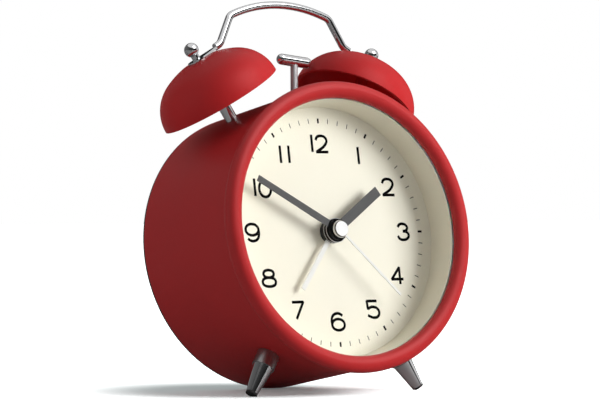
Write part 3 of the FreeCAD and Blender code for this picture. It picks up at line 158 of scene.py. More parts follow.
lens_glass = bpy.data.materials.new("lens_glass")
lens_glass.use_nodes = True
lens_tree, lens_shader = graph(lens_glass)
lens_shader.inputs["Base Color"].default_value = GLASS_TINT
lens_shader.inputs["Transmission Weight"].default_value = 1.0
lens_shader.inputs["IOR"].default_value = GLASS_INDEX
lens_place, lens_smears, lens_range, lens_clear, lens_path, lens_open, lens_mix = add_nodes(
    lens_tree, "TexCoord", "TexNoise", "MapRange", "BsdfTransparent", "LightPath", "Math", "MixShader")
lens_open.operation = "MAXIMUM"
lens_smears.inputs["Scale"].default_value = SMEAR_SCALE
lens_range.inputs["To Min"].default_value = 0.0
lens_range.inputs["To Max"].default_value = SMEAR_ROUGHNESS
lens_tree.links.new(lens_place.outputs["Object"], lens_smears.inputs["Vector"])
lens_tree.links.new(lens_smears.outputs["Fac"], lens_range.inputs["Value"])
lens_tree.links.new(lens_range.outputs["Result"], lens_shader.inputs["Roughness"])
lens_tree.links.new(lens_path.outputs["Is Shadow Ray"], lens_open.inputs[0])
lens_tree.links.new(lens_path.outputs["Is Diffuse Ray"], lens_open.inputs[1])
lens_tree.links.new(lens_open.outputs[0], lens_mix.inputs["Fac"])
lens_tree.links.new(lens_shader.outputs["BSDF"], lens_mix.inputs[1])
lens_tree.links.new(lens_clear.outputs["BSDF"], lens_mix.inputs[2])
lens_tree.links.new(lens_mix.outputs["Shader"], lens_tree.nodes["Material Output"].inputs["Surface"])
dress(lens_glass, "lens")


def translucent(material, weight, depth):
    """Lets a share of the light spread under the surface, to this depth in metres."""
    tree, shader = graph(material)
    shader.inputs["Subsurface Weight"].default_value = weight
    shader.inputs["Subsurface Scale"].default_value = depth


seal_rubber = finish(
    "seal_rubber", SEAL_CREAM, roughness=0.45, tone=0.10, patches=90.0, grain=2500.0,
    spread=0.10, relief=0.00001)
translucent(seal_rubber, weight=0.6, depth=0.002)
dress(seal_rubber, "lens_seal")

# Dial.
# A cream card on a moulded carrier, inside a conical cream ring. Ticks and numbers are printed in black.
DIAL_CREAM = (0.95, 0.92, 0.79, 1)
RING_CREAM = (0.86, 0.82, 0.68, 1)
CARRIER_WHITE = (0.80, 0.80, 0.77, 1)
INK_BLACK = (0.002, 0.002, 0.002, 1)
CLOCK_CENTRE = Vector((0.0, -0.028811, 0.0658927))
DIAL_TURN = radians(80)
DIAL_FACE = -0.0144

card = finish(
    "dial_card", DIAL_CREAM, roughness=0.55, tone=0.03, patches=30.0, grain=3500.0,
    spread=0.06, relief=0.000004, specular=0.1)
dress(card, "dial")
ring_plastic = finish(
    "ring_plastic", RING_CREAM, roughness=0.5, tone=0.04, patches=40.0, grain=2000.0,
    spread=0.08, relief=0.00001)
dress(ring_plastic, "dial_ring")
carrier_plastic = finish(
    "carrier_plastic", CARRIER_WHITE, roughness=0.5, tone=0.06, patches=60.0, grain=1800.0,
    spread=0.10, relief=0.00001)
dress(carrier_plastic, "dial_carrier")

# Half the width of the numbers' lines, in mm.
STROKE = 0.58
# Half the length in metres, and half the width in mm, of the ticks at the hours and of those between them.
HOUR_TICK = (0.0008, 0.44)
MINUTE_TICK = (0.0009, 0.16)
TICK_RADIUS = 0.0448
MILLIMETRE = 0.001
# How far a straight line goes past its points, as a share of half its width, so that corners close.
PEN_OVERLAP = 0.4
# Height of the print as a share of its width.
PRINT_FLATNESS = 0.1
# Each stroke: its points in mm from the figure's centre, whether it is rounded, and whether it is closed.
FIGURES = {
    "0": [([(2.75, 0), (0, 3.25), (-2.75, 0), (0, -3.25)], True, True)],
    "1": [([(0, -3.25), (0, 3.25)], False, False)],
    "2": [([(-2.6, 1.5), (-1.9, 2.75), (0, 3.25), (1.9, 2.7), (2.6, 1.4), (1.7, -0.4), (-2.7, -3.25)],
           True, False),
          ([(-2.7, -3.25), (2.8, -3.25)], False, False)],
    "3": [([(-2.4, 1.9), (-1.45, 2.95), (0, 3.25), (1.75, 2.65), (2.3, 1.65), (1.65, 0.6), (0, 0.25)],
           True, False),
          ([(0, 0.25), (1.95, -0.2), (2.75, -1.5), (1.9, -2.75), (0, -3.25), (-1.75, -2.85), (-2.7, -1.65)],
           True, False)],
    "4": [([(1.3, -3.25), (1.3, 3.25), (-2.75, -1.45), (2.75, -1.45)], False, False)],
    "5": [([(1.9, 3.35), (-2.75, 3.35), (-2.45, 0.2)], False, False),
          ([(-2.45, 0.2), (-1.1, 0.85), (0.35, 0.95), (2.2, 0.2), (2.9, -1.25), (2.1, -2.85), (0.3, -3.35),
            (-1.5, -2.9), (-2.75, -2.3)], True, False)],
    "6": [([(3.1, -1.15), (0.1, 1.1), (-2.9, -1.15), (0.1, -3.35)], True, True),
          ([(-2.9, -1.15), (-2.95, 0.6), (-2.2, 2.5), (-0.3, 3.35), (1.3, 3.1), (2.4, 2.4)], True, False)],
    "7": [([(-2.55, 3.25), (2.55, 3.25), (-1.1, -3.25)], False, False)],
    "8": [([(2.4, 1.75), (0, 3.25), (-2.4, 1.75), (0, 0.25)], True, True),
          ([(3.1, -1.5), (0, 0.25), (-3.1, -1.5), (0, -3.25)], True, True)],
}
FIGURES["9"] = [([(-x, -y) for x, y in points], smooth, closed) for points, smooth, closed in FIGURES["6"]]
# Figure, and its centre on the dial in mm.
DIAL_NUMBERS = (
    ("1", -4.04, 35.75), ("2", 0.55, 35.5), ("1", 18.11, 30.96), ("2", 31.08, 18.17), ("3", 36.36, -0.09),
    ("4", 31.19, -17.81), ("5", 17.54, -31.19), ("6", -0.13, -35.81), ("7", -18.53, -30.85),
    ("8", -31.00, -18.00), ("9", -36.64, 0.10), ("1", -33.47, 17.99), ("0", -28.68, 17.40),
    ("1", -19.72, 31.20), ("1", -15.62, 31.23))


def pen_line(curve, points, smooth, closed, width):
    """Adds one line of the pen to a flat curve: points in metres, half its width in mm."""
    spline = curve.splines.new("BEZIER")
    spline.bezier_points.add(len(points) - 1)
    spline.use_cyclic_u = closed
    for point, (x, y) in zip(spline.bezier_points, points):
        point.co = (x, y, 0)
        point.handle_left_type = point.handle_right_type = "AUTO" if smooth else "VECTOR"
        point.radius = width
    spline.resolution_u = 12 if smooth else 2


def pen_stroke(curve, points, smooth, closed, width):
    """Adds a rounded stroke as one line, or a straight one as a line for each side, long enough to join."""
    if smooth:
        pen_line(curve, points, smooth, closed, width)
        return
    for start, end in zip(points, points[1:]):
        start, end = Vector(start), Vector(end)
        over = (end - start).normalized() * width * PEN_OVERLAP * MILLIMETRE
        pen_line(curve, [start - over, end + over], smooth, closed, width)


bpy.ops.object.select_all(action="DESELECT")
bpy.ops.curve.primitive_bezier_curve_add()
dial_print = bpy.context.object
dial_print.name = "dial_print"
dial_print.data.splines.clear()
dial_print.data.bevel_depth = MILLIMETRE
dial_print.data.bevel_resolution = 3
dial_print.data.use_fill_caps = True
for figure, centre_x, centre_y in DIAL_NUMBERS:
    for points, smooth, closed in FIGURES[figure]:
        moved = [((centre_x + x) * MILLIMETRE, (centre_y + y) * MILLIMETRE) for x, y in points]
        pen_stroke(dial_print.data, moved, smooth, closed, STROKE)
for minute in range(60):
    half, width = HOUR_TICK if minute % 5 == 0 else MINUTE_TICK
    angle = radians(6 * minute)
    ends = [(r * sin(angle), r * cos(angle)) for r in (TICK_RADIUS - half, TICK_RADIUS + half)]
    pen_stroke(dial_print.data, ends, False, False, width)
bpy.ops.object.convert(target="MESH")
dial_print = bpy.context.object
dial_print.scale = (1, 1, PRINT_FLATNESS)
bpy.ops.object.transform_apply()
dial_print.rotation_euler = (DIAL_TURN, 0, 0)
dial_print.location = CLOCK_CENTRE + Euler((DIAL_TURN, 0, 0)).to_matrix() @ Vector((0, 0, DIAL_FACE))
bpy.ops.object.transform_apply()
ink = finish(
    "dial_ink", INK_BLACK, roughness=0.75, tone=0.3, patches=200.0, grain=6000.0,
    spread=0.10, relief=0.000004, specular=0.05)
dial_print.data.materials.append(ink)
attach(dial_print, "clock")

# Hands.
# Stamped aluminium: the hour and minute hands are painted dark grey, the second and alarm hands stay light.
# The lower hubs are gloss black. The side of the cap is painted gloss black as a painted dark reflection, and
# each carries a painted highlight: a thin bright ring at its edge.
HAND_GREY = (0.105, 0.105, 0.106, 1)
HAND_LIGHT = (0.88, 0.88, 0.85, 1)
CAP_WHITE = (0.95, 0.95, 0.95, 1)
# Real gloss black of the lower hubs, also used on the cap's side as a painted dark reflection.
HUB_BLACK_AND_CAP_PAINTED_REFLECTION = (0.004, 0.004, 0.0045, 1)
# Colour of the painted highlight rings on the hubs' edges.
HUB_PAINTED_HIGHLIGHT = (0.80, 0.80, 0.80, 1)
HUB_ROUGHNESS = 0.12
# Distances from the hands' axis, and heights from the bezel's plane, in metres.
HUB_RADIUS = 0.0051
CAP_FACE_RADIUS = 0.00298
ALARM_HUB_TOP = -0.0110
BEZEL_PLANE = 0.0
EVERYWHERE = 1.0
# Painted highlights, thin bright rings at the hubs' edges: distance from the axis, height from the bezel's
# plane, and half the width.
HOUR_HUB_PAINTED_HIGHLIGHT = (0.0049, -0.0094, 0.00018)
ALARM_HUB_PAINTED_HIGHLIGHT = (0.0049, -0.0112, 0.00018)
CAP_PAINTED_HIGHLIGHT = (0.0035, -0.0064, 0.00026)


def dial_group():
    """A point's place seen square on to the dial, and its distance from the hands' axis."""
    group = bpy.data.node_groups.new("Dial place", "ShaderNodeTree")
    plug = group.interface.new_socket
    plug("Place", in_out="OUTPUT", socket_type="NodeSocketVector")
    plug("Distance", in_out="OUTPUT", socket_type="NodeSocketFloat")
    result = group.nodes.new("NodeGroupOutput")
    place, turned, flat, length = add_nodes(group, "TexCoord", "Mapping", "VectorMath", "VectorMath")
    turned.vector_type = "TEXTURE"
    turned.inputs["Location"].default_value = CLOCK_CENTRE
    turned.inputs["Rotation"].default_value = (DIAL_TURN, 0, 0)
    flat.operation, flat.inputs[1].default_value = "MULTIPLY", (1, 1, 0)
    length.operation = "LENGTH"
    group.links.new(place.outputs["Object"], turned.inputs["Vector"])
    group.links.new(turned.outputs["Vector"], flat.inputs[0])
    group.links.new(flat.outputs["Vector"], length.inputs[0])
    group.links.new(turned.outputs["Vector"], result.inputs["Place"])
    group.links.new(length.outputs["Value"], result.inputs["Distance"])
    return group


DIAL_PLACE = dial_group()


def hub_black_and_painted_highlight(material, inner, outer, top, edge):
    """Paints gloss black below top what is nearer to the axis than inner or further than outer, and paints a
    highlight ring at edge.
    """
    tree, shader = graph(material)
    place, near, far, ring, low, black, height, color, gloss = add_nodes(
        tree, "Group", "Math", "Math", "Math", "Math", "Math", "SeparateXYZ", "Mix", "Mix")
    around, along, highlight_mask, painted = add_nodes(tree, "Math", "Math", "Math", "Mix")
    highlight_radius, highlight_height, highlight_width = edge
    place.node_tree = DIAL_PLACE
    near.operation, near.inputs[1].default_value = "LESS_THAN", inner
    far.operation, far.inputs[1].default_value = "GREATER_THAN", outer
    low.operation, low.inputs[1].default_value = "LESS_THAN", top
    ring.operation, black.operation, highlight_mask.operation = "MAXIMUM", "MULTIPLY", "MULTIPLY"
    around.operation = along.operation = "COMPARE"
    around.inputs[1].default_value, around.inputs[2].default_value = highlight_radius, highlight_width
    along.inputs[1].default_value, along.inputs[2].default_value = highlight_height, highlight_width
    color.data_type = painted.data_type = "RGBA"
    color.inputs[7].default_value = HUB_BLACK_AND_CAP_PAINTED_REFLECTION
    painted.inputs[7].default_value = HUB_PAINTED_HIGHLIGHT
    gloss.inputs[3].default_value = HUB_ROUGHNESS
    for mask in (near, far, around):
        tree.links.new(place.outputs["Distance"], mask.inputs[0])
    tree.links.new(place.outputs["Place"], height.inputs[0])
    for mask in (low, along):
        tree.links.new(height.outputs["Z"], mask.inputs[0])
    for first, second, total in ((near, far, ring), (ring, low, black), (around, along, highlight_mask)):
        tree.links.new(first.outputs[0], total.inputs[0])
        tree.links.new(second.outputs[0], total.inputs[1])
    for mix in (color, gloss):
        tree.links.new(black.outputs[0], mix.inputs[0])
    tree.links.new(tree.nodes["Skin"].outputs["Color"], color.inputs[6])
    tree.links.new(tree.nodes["Skin"].outputs["Roughness"], gloss.inputs[2])
    tree.links.new(highlight_mask.outputs[0], painted.inputs[0])
    tree.links.new(color.outputs[2], painted.inputs[6])
    tree.links.new(painted.outputs[2], shader.inputs["Base Color"])
    tree.links.new(gloss.outputs[0], shader.inputs["Roughness"])


dark_paint = finish(
    "hand_dark_paint", HAND_GREY, roughness=0.65, tone=0.12, patches=150.0, grain=4000.0,
    spread=0.08, relief=0.000006, specular=0.3)
hub_black_and_painted_highlight(dark_paint, HUB_RADIUS, EVERYWHERE, BEZEL_PLANE, HOUR_HUB_PAINTED_HIGHLIGHT)
dress(dark_paint, "hour_hand", "minute_hand")
light_metal = finish(
    "hand_light_metal", HAND_LIGHT, roughness=0.5, tone=0.10, patches=250.0, grain=4000.0,
    spread=0.08, relief=0.000005, metallic=0.2)
hub_black_and_painted_highlight(light_metal, HUB_RADIUS, EVERYWHERE, ALARM_HUB_TOP, ALARM_HUB_PAINTED_HIGHLIGHT)
dress(light_metal, "alarm_hand", "second_hand")
cap_metal = finish(
    "cap_metal", CAP_WHITE, roughness=0.25, tone=0.05, patches=90.0, grain=3000.0,
    spread=0.05, relief=0.000003, metallic=0.1)
# On the cap, everything outside its face is painted gloss black: a painted dark reflection on the cap's side.
hub_black_and_painted_highlight(cap_metal, 0.0, CAP_FACE_RADIUS, BEZEL_PLANE, CAP_PAINTED_HIGHLIGHT)
dress(cap_metal, "hand_cap")

# Bright metal.
# Handle, domed nuts, bell posts, hammer head and foot cones are polished steel with a thin chrome plate.
CHROME_GREY = (0.74, 0.74, 0.75, 1)

chrome = finish(
    "chrome_plate", CHROME_GREY, roughness=0.07, tone=0.05, patches=70.0, grain=1200.0,
    spread=0.05, relief=0.000003, metallic=1.0)
dress(chrome, "handle", "bell_nuts", "left_foot", "right_foot", "hammer_head", "left_bell_post",
      "right_bell_post")

# Bells.
# Two pressed steel domes in the case's red, each on a post with a rubber washer and a domed nut.
# The pads under the feet are of the same black rubber.
BELL_RED = (0.50, 0.014, 0.016, 1)
RUBBER_BLACK = (0.018, 0.018, 0.018, 1)

bell_paint = finish(
    "bell_red", BELL_RED, roughness=0.48, tone=0.10, patches=50.0, grain=1500.0,
    spread=0.10, relief=0.00003, specular=0.24)
dress(bell_paint, "left_bell", "right_bell")
rubber = finish(
    "black_rubber", RUBBER_BLACK, roughness=0.7, tone=0.35, patches=160.0, grain=2500.0,
    spread=0.20, relief=0.00003)
dress(rubber, "bell_washers", "foot_tips")

# Steel parts.
# Nuts, pin, hammer arm, foot collars, bracket, contacts and screws are plain turned or pressed steel, zinc
# plated. One wheel is of brass. All are screwed or riveted in place.
TURNED_GREY = (0.56, 0.56, 0.57, 1)
HAMMER_GREY = (0.55, 0.55, 0.56, 1)
COLLAR_GREY = (0.42, 0.42, 0.42, 1)
SHEET_GREY = (0.60, 0.60, 0.61, 1)
BRASS_YELLOW = (0.62, 0.44, 0.16, 1)


def lathe_group():
    """The height of fine parallel tool marks."""
    group = bpy.data.node_groups.new("Tool marks", "ShaderNodeTree")
    plug = group.interface.new_socket
    plug("Scale", in_out="INPUT", socket_type="NodeSocketVector")
    plug("Height", in_out="OUTPUT", socket_type="NodeSocketFloat")
    given, result = group.nodes.new("NodeGroupInput"), group.nodes.new("NodeGroupOutput")
    place, spread, noise = add_nodes(group, "TexCoord", "Mapping", "TexNoise")
    noise.inputs["Scale"].default_value = 1.0
    noise.inputs["Detail"].default_value = 3.0
    group.links.new(place.outputs["Object"], spread.inputs["Vector"])
    group.links.new(given.outputs["Scale"], spread.inputs["Scale"])
    group.links.new(spread.outputs["Vector"], noise.inputs["Vector"])
    group.links.new(noise.outputs["Fac"], result.inputs["Height"])
    return group


TOOL_MARKS = lathe_group()


def brushed(name, color, roughness, marks, relief, metallic=1.0):
    """Bare metal with parallel marks. Marks is how many there are to a metre along x, y and z."""
    material = finish(
        name, color, roughness=roughness, tone=0.12, patches=120.0, grain=2500.0, spread=0.12,
        relief=relief, metallic=metallic)
    tree = material.node_tree
    lines = tree.nodes.new("ShaderNodeGroup")
    lines.node_tree = TOOL_MARKS
    lines.inputs["Scale"].default_value = marks
    tree.links.new(lines.outputs["Height"], tree.nodes["Bump"].inputs["Height"])
    return material


turned_steel = brushed("turned_steel", TURNED_GREY, 0.30, (60, 60, 5000), 0.000012)
dress(turned_steel, "post_nuts", "foot_nuts", "hammer_pin", "crystal")
hammer_steel = brushed("hammer_steel", HAMMER_GREY, 0.38, (60, 60, 4000), 0.000008, metallic=0.55)
dress(hammer_steel, "hammer_arm")
collar_steel = brushed("collar_steel", COLLAR_GREY, 0.30, (60, 60, 4000), 0.000008)
dress(collar_steel, "foot_collars")
sheet_steel = brushed("sheet_steel", SHEET_GREY, 0.28, (60, 4000, 4000), 0.000010)
dress(sheet_steel, "hammer_bracket", "cover_screws", "battery_contacts", "stator",
      "second_wheel", "alarm_motor")
brass = brushed("rolled_brass", BRASS_YELLOW, 0.30, (60, 3000, 3000), 0.000010)
dress(brass, "center_wheel")

# Movement and back.
# A standard quartz movement: black moulded box, white acetal wheels, wound coil, small circuit board. The
# back cover, its door, knobs and switch housing are moulded of the same black plastic, with a fine grain.
MOULDED_BLACK = (0.040, 0.040, 0.042, 1)
ACETAL_WHITE = (0.80, 0.80, 0.77, 1)
MAGNET_GREY = (0.10, 0.10, 0.105, 1)
COIL_COPPER = (0.62, 0.24, 0.10, 1)
BOARD_GREEN = (0.035, 0.16, 0.05, 1)
TRACK_GREEN = (0.07, 0.28, 0.08, 1)
PAD_TIN = (0.62, 0.62, 0.60, 1)
# Cells of the board's pattern to a metre, and the widths of its tracks and pads as shares of a cell.
BOARD_CELLS = 420.0
TRACK_WIDTH = 0.07
PAD_SIZE = 0.22

moulded = finish(
    "moulded_black", MOULDED_BLACK, roughness=0.48, tone=0.25, patches=60.0, grain=2200.0,
    spread=0.14, relief=0.00004)
dress(moulded, "movement_front", "movement_rear", "back_cover", "battery_door", "switch_housing",
      "time_knob", "alarm_knob")
acetal = finish(
    "acetal_white", ACETAL_WHITE, roughness=0.38, tone=0.06, patches=150.0, grain=2500.0,
    spread=0.10, relief=0.00001)
translucent(acetal, weight=0.1, depth=0.001)
dress(acetal, "third_wheel", "intermediate_wheel", "motion_wheel", "hour_wheel", "alarm_wheel",
      "motor_crank", "alarm_switch")
magnet = finish(
    "sintered_magnet", MAGNET_GREY, roughness=0.5, tone=0.3, patches=400.0, grain=5000.0,
    spread=0.2, relief=0.00002, metallic=0.9)
dress(magnet, "rotor")
copper = brushed("coil_wire", COIL_COPPER, 0.35, (9000, 60, 60), 0.00004)
dress(copper, "coil")
board = finish(
    "circuit_board", BOARD_GREEN, roughness=0.35, tone=0.25, patches=700.0, grain=5000.0,
    spread=0.1, relief=0.00001)
board_tree, board_shader = graph(board)
board_place, board_tracks, board_pads, track_line, pad_dot, track_color, pad_color = add_nodes(
    board_tree, "TexCoord", "TexVoronoi", "TexVoronoi", "Math", "Math", "Mix", "Mix")
board_tracks.feature = "DISTANCE_TO_EDGE"
board_tracks.inputs["Scale"].default_value = board_pads.inputs["Scale"].default_value = BOARD_CELLS
track_line.operation, track_line.inputs[1].default_value = "LESS_THAN", TRACK_WIDTH
pad_dot.operation, pad_dot.inputs[1].default_value = "LESS_THAN", PAD_SIZE
track_color.data_type = pad_color.data_type = "RGBA"
track_color.inputs[7].default_value = TRACK_GREEN
pad_color.inputs[7].default_value = PAD_TIN
for pattern, mask in ((board_tracks, track_line), (board_pads, pad_dot)):
    board_tree.links.new(board_place.outputs["Object"], pattern.inputs["Vector"])
    board_tree.links.new(pattern.outputs["Distance"], mask.inputs[0])
board_tree.links.new(track_line.outputs[0], track_color.inputs[0])
board_tree.links.new(board_tree.nodes["Skin"].outputs["Color"], track_color.inputs[6])
board_tree.links.new(pad_dot.outputs[0], pad_color.inputs[0])
board_tree.links.new(track_color.outputs[2], pad_color.inputs[6])
board_tree.links.new(pad_color.outputs[2], board_shader.inputs["Base Color"])
dress(board, "circuit_board")

# Batteries.
# Two AA cells the opposite way round, in a plain dark wrap with a copper band at the plus end and no words.
# The ends of the can are bare steel.
WRAP_DARK = (0.03, 0.035, 0.04, 1)
BAND_COPPER = (0.58, 0.30, 0.14, 1)
CAN_STEEL = (0.62, 0.62, 0.63, 1)
# Places along a cell from the clock's middle, toward its plus end.
BAND_START = 0.0125
PLUS_STEEL = 0.0237
MINUS_STEEL = -0.0250


def cell_wrap(name, side):
    """The finish of a cell whose plus end points along x to this side."""
    material = finish(
        name, WRAP_DARK, roughness=0.25, tone=0.12, patches=90.0, grain=2500.0,
        spread=0.08, relief=0.000006)
    tree, shader = graph(material)
    shader.inputs["Coat Weight"].default_value = 0.5
    place, parts, along, band, front, back, bare, banded, color = add_nodes(
        tree, "TexCoord", "SeparateXYZ", "Math", "Math", "Math", "Math", "Math", "Mix", "Mix")
    along.operation, along.inputs[1].default_value = "MULTIPLY", side
    band.operation, band.inputs[1].default_value = "GREATER_THAN", BAND_START
    front.operation, front.inputs[1].default_value = "GREATER_THAN", PLUS_STEEL
    back.operation, back.inputs[1].default_value = "LESS_THAN", MINUS_STEEL
    bare.operation = "MAXIMUM"
    banded.data_type = color.data_type = "RGBA"
    banded.inputs[7].default_value = BAND_COPPER
    color.inputs[7].default_value = CAN_STEEL
    tree.links.new(place.outputs["Object"], parts.inputs[0])
    tree.links.new(parts.outputs["X"], along.inputs[0])
    for mask in (band, front, back):
        tree.links.new(along.outputs[0], mask.inputs[0])
    tree.links.new(front.outputs[0], bare.inputs[0])
    tree.links.new(back.outputs[0], bare.inputs[1])
    tree.links.new(band.outputs[0], banded.inputs[0])
    tree.links.new(tree.nodes["Skin"].outputs["Color"], banded.inputs[6])
    tree.links.new(bare.outputs[0], color.inputs[0])
    tree.links.new(banded.outputs[2], color.inputs[6])
    tree.links.new(color.outputs[2], shader.inputs["Base Color"])
    tree.links.new(bare.outputs[0], shader.inputs["Metallic"])
    return material


dress(cell_wrap("cell_wrap_upper", 1.0), "battery_1")
dress(cell_wrap("cell_wrap_lower", -1.0), "battery_2")

# Floor.
# A plain pale table that glows white to the camera all around the clock, but not where its shadow lies. The
# clock itself sees a grey table, so that its underside stays as dark as in the photograph.
FLOOR_SIZE = 12.0
# Its red is held a little low to take out the red light the case bounces onto it: a painted correction of
# that light.
FLOOR_WHITE = (0.86, 0.97, 0.97, 1)
FLOOR_MIRRORED = (0.30, 0.30, 0.30, 1)
FLOOR_BOUNCED = (0.46, 0.46, 0.46, 1)
# Where the glow is held low, around this middle, the floor is darker to the camera: a painted shadow that
# deepens the lamps' own shadow there.
# Middle of the shadow, the distances from it where the glow starts and is full, and its least and full level.
SHADOW_MIDDLE = (-0.023, 0.016, 0)
GLOW_START = 0.03
GLOW_END = 0.080
GLOW_LEAST = 0.10
GLOW_FULL = 1.1

bpy.ops.object.select_all(action="DESELECT")
bpy.ops.mesh.primitive_plane_add(size=FLOOR_SIZE, location=(0, 0, 0))
floor = bpy.context.object
floor.name = "floor"
floor_paint = finish(
    "floor_paint", FLOOR_WHITE, roughness=0.7, tone=0.01, patches=4.0, grain=300.0,
    spread=0.02, relief=0.00001)
floor_tree, floor_shader = graph(floor_paint)
floor_glow, floor_path, floor_seen, floor_sum, floor_bounce, floor_grey = add_nodes(
    floor_tree, "Emission", "LightPath", "Math", "AddShader", "Mix", "Mix")
floor_place, floor_away, floor_fade = add_nodes(floor_tree, "TexCoord", "VectorMath", "MapRange")
floor_away.operation, floor_away.inputs[1].default_value = "DISTANCE", SHADOW_MIDDLE
floor_fade.interpolation_type = "SMOOTHSTEP"
floor_fade.inputs["From Min"].default_value = GLOW_START
floor_fade.inputs["From Max"].default_value = GLOW_END
floor_fade.inputs["To Min"].default_value = GLOW_LEAST
floor_fade.inputs["To Max"].default_value = GLOW_FULL
floor_seen.operation = "MULTIPLY"
floor_bounce.data_type = floor_grey.data_type = "RGBA"
floor_grey.inputs[6].default_value = FLOOR_MIRRORED
floor_grey.inputs[7].default_value = FLOOR_BOUNCED
floor_tree.links.new(floor_place.outputs["Object"], floor_away.inputs[0])
floor_tree.links.new(floor_away.outputs["Value"], floor_fade.inputs["Value"])
floor_tree.links.new(floor_fade.outputs["Result"], floor_seen.inputs[1])
floor_tree.links.new(floor_path.outputs["Is Diffuse Ray"], floor_grey.inputs[0])
floor_tree.links.new(floor_grey.outputs[2], floor_bounce.inputs[6])
floor_tree.links.new(floor_path.outputs["Is Camera Ray"], floor_seen.inputs[0])
floor_tree.links.new(floor_path.outputs["Is Camera Ray"], floor_bounce.inputs[0])
floor_tree.links.new(floor_tree.nodes["Skin"].outputs["Color"], floor_bounce.inputs[7])
floor_tree.links.new(floor_bounce.outputs[2], floor_shader.inputs["Base Color"])
floor_tree.links.new(floor_seen.outputs[0], floor_glow.inputs["Strength"])
floor_tree.links.new(floor_shader.outputs["BSDF"], floor_sum.inputs[0])
floor_tree.links.new(floor_glow.outputs["Emission"], floor_sum.inputs[1])
floor_tree.links.new(floor_sum.outputs["Shader"], floor_tree.nodes["Material Output"].inputs["Surface"])
floor.data.materials.append(floor_paint)

# Room.
# A white studio to the camera, and also through the glass toward the back. Bright metal and the glass see a
# dim room instead, with one white wall and a white ceiling, and everything is lit softly from all around.
WHITE = (1, 1, 1, 1)
SOFT_LIGHT = 0.31
ROOM_FRONT = (-0.576, -0.817, 0.0)
ROOM_RIGHT = (0.817, -0.576, 0.0)
# How bright bright metal sees the room: degrees to the right of the camera's wall, and the level there.
ROOM_WALLS = ((-165, 0.02), (-145, 0.25), (-110, 0.16), (-60, 0.13), (-30, 0.07), (25, 0.04), (45, 0.02),
              (94, 0.02), (102, 1.0), (132, 1.0), (146, 0.02))
WALL_ENDS = (0.02, 0.02, 0.02, 1)
# The ceiling's edge: heights where it starts and is full white, and how much lower it hangs at the right.
CEILING_START = 0.52
CEILING_FULL = 0.70
CEILING_LEAN = 0.22

world = bpy.data.worlds.new("studio")
bpy.context.scene.world = world
world.use_nodes = True
sky = world.node_tree
sky_soft = sky.nodes["Background"]
sky_white, sky_room, sky_path, sky_open, sky_shine, sky_rest = add_nodes(
    sky, "Background", "Background", "LightPath", "Math", "MixShader", "MixShader")
sky_way, sky_front, sky_side, sky_turn, sky_round, sky_wall = add_nodes(
    sky, "TexCoord", "VectorMath", "VectorMath", "Math", "MapRange", "ValToRGB")
sky_height, sky_top, sky_bright = add_nodes(sky, "SeparateXYZ", "MapRange", "Math")
sky_back, sky_through, sky_either, sky_lean = add_nodes(sky, "Math", "Math", "Math", "Math")
sky_soft.inputs["Color"].default_value = sky_white.inputs["Color"].default_value = WHITE
sky_soft.inputs["Strength"].default_value = SOFT_LIGHT
sky_open.operation = sky_bright.operation = sky_either.operation = "MAXIMUM"
sky_back.operation, sky_back.inputs[1].default_value = "LESS_THAN", 0.0
sky_through.operation = "MULTIPLY"
sky_front.operation = sky_side.operation = "DOT_PRODUCT"
sky_front.inputs[1].default_value = ROOM_FRONT
sky_side.inputs[1].default_value = ROOM_RIGHT
sky_turn.operation = "ARCTAN2"
sky_round.inputs["From Min"].default_value = radians(-180)
sky_round.inputs["From Max"].default_value = radians(180)
sky_lean.operation, sky_lean.inputs[1].default_value = "MULTIPLY_ADD", CEILING_LEAN
sky_top.interpolation_type = "SMOOTHSTEP"
sky_top.inputs["From Min"].default_value = CEILING_START
sky_top.inputs["From Max"].default_value = CEILING_FULL
wall = sky_wall.color_ramp.elements
wall[0].color = wall[1].color = WALL_ENDS
for turn, level in ROOM_WALLS:
    wall.new((turn + 180) / 360).color = (level, level, level, 1)
for part in (sky_front, sky_side, sky_height):
    sky.links.new(sky_way.outputs["Generated"], part.inputs[0])
sky.links.new(sky_side.outputs["Value"], sky_turn.inputs[0])
sky.links.new(sky_front.outputs["Value"], sky_turn.inputs[1])
sky.links.new(sky_turn.outputs[0], sky_round.inputs["Value"])
sky.links.new(sky_round.outputs["Result"], sky_wall.inputs["Fac"])
sky.links.new(sky_side.outputs["Value"], sky_lean.inputs[0])
sky.links.new(sky_height.outputs["Z"], sky_lean.inputs[2])
sky.links.new(sky_lean.outputs[0], sky_top.inputs["Value"])
sky.links.new(sky_wall.outputs["Color"], sky_bright.inputs[0])
sky.links.new(sky_top.outputs["Result"], sky_bright.inputs[1])
sky.links.new(sky_bright.outputs[0], sky_room.inputs["Strength"])
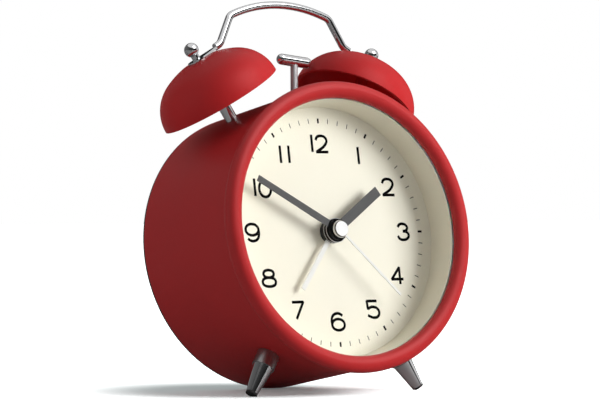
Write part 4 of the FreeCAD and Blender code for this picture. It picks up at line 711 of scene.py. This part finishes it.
sky.links.new(sky_path.outputs["Is Camera Ray"], sky_open.inputs[0])
sky.links.new(sky_front.outputs["Value"], sky_back.inputs[0])
sky.links.new(sky_path.outputs["Is Transmission Ray"], sky_through.inputs[0])
sky.links.new(sky_back.outputs[0], sky_through.inputs[1])
sky.links.new(sky_through.outputs[0], sky_open.inputs[1])
sky.links.new(sky_path.outputs["Is Glossy Ray"], sky_either.inputs[0])
sky.links.new(sky_path.outputs["Is Transmission Ray"], sky_either.inputs[1])
sky.links.new(sky_either.outputs[0], sky_shine.inputs["Fac"])
sky.links.new(sky_soft.outputs["Background"], sky_shine.inputs[1])
sky.links.new(sky_room.outputs["Background"], sky_shine.inputs[2])
sky.links.new(sky_open.outputs[0], sky_rest.inputs["Fac"])
sky.links.new(sky_shine.outputs["Shader"], sky_rest.inputs[1])
sky.links.new(sky_white.outputs["Background"], sky_rest.inputs[2])
sky.links.new(sky_rest.outputs["Shader"], sky.nodes["World Output"].inputs["Surface"])

# Lamps.
# The key is a large soft lamp at the viewer's right. Weak lamps fill in from the left and the back, and one
# high lamp only gives the satin coat its sheen, so that no lamp shows in the glass.
LAMP_TARGET = (0, 0, 0.07)


def soft_lamp(name, place, size, power):
    """A square soft lamp at a place, turned to the clock."""
    bpy.ops.object.light_add(type="AREA", location=place)
    lamp = bpy.context.object
    lamp.name = name
    lamp.data.size = size
    lamp.data.energy = power
    lamp.rotation_euler = (Vector(LAMP_TARGET) - Vector(place)).to_track_quat("-Z", "Y").to_euler()
    return lamp


key = soft_lamp("key_lamp", (0.93, -1.03, 0.50), size=0.75, power=22.5)
left_fill = soft_lamp("left_fill", (-1.25, 0.25, 0.5), size=1.2, power=3.3)
back_fill = soft_lamp("back_fill", (0.3, 1.4, 0.35), size=0.8, power=4.0)
for lamp in (key, left_fill, back_fill):
    lamp.visible_glossy = lamp.visible_transmission = False
sheen = soft_lamp("sheen_lamp", (0.40, -0.885, 1.08), size=0.9, power=9.0)
sheen.visible_diffuse = sheen.visible_transmission = False
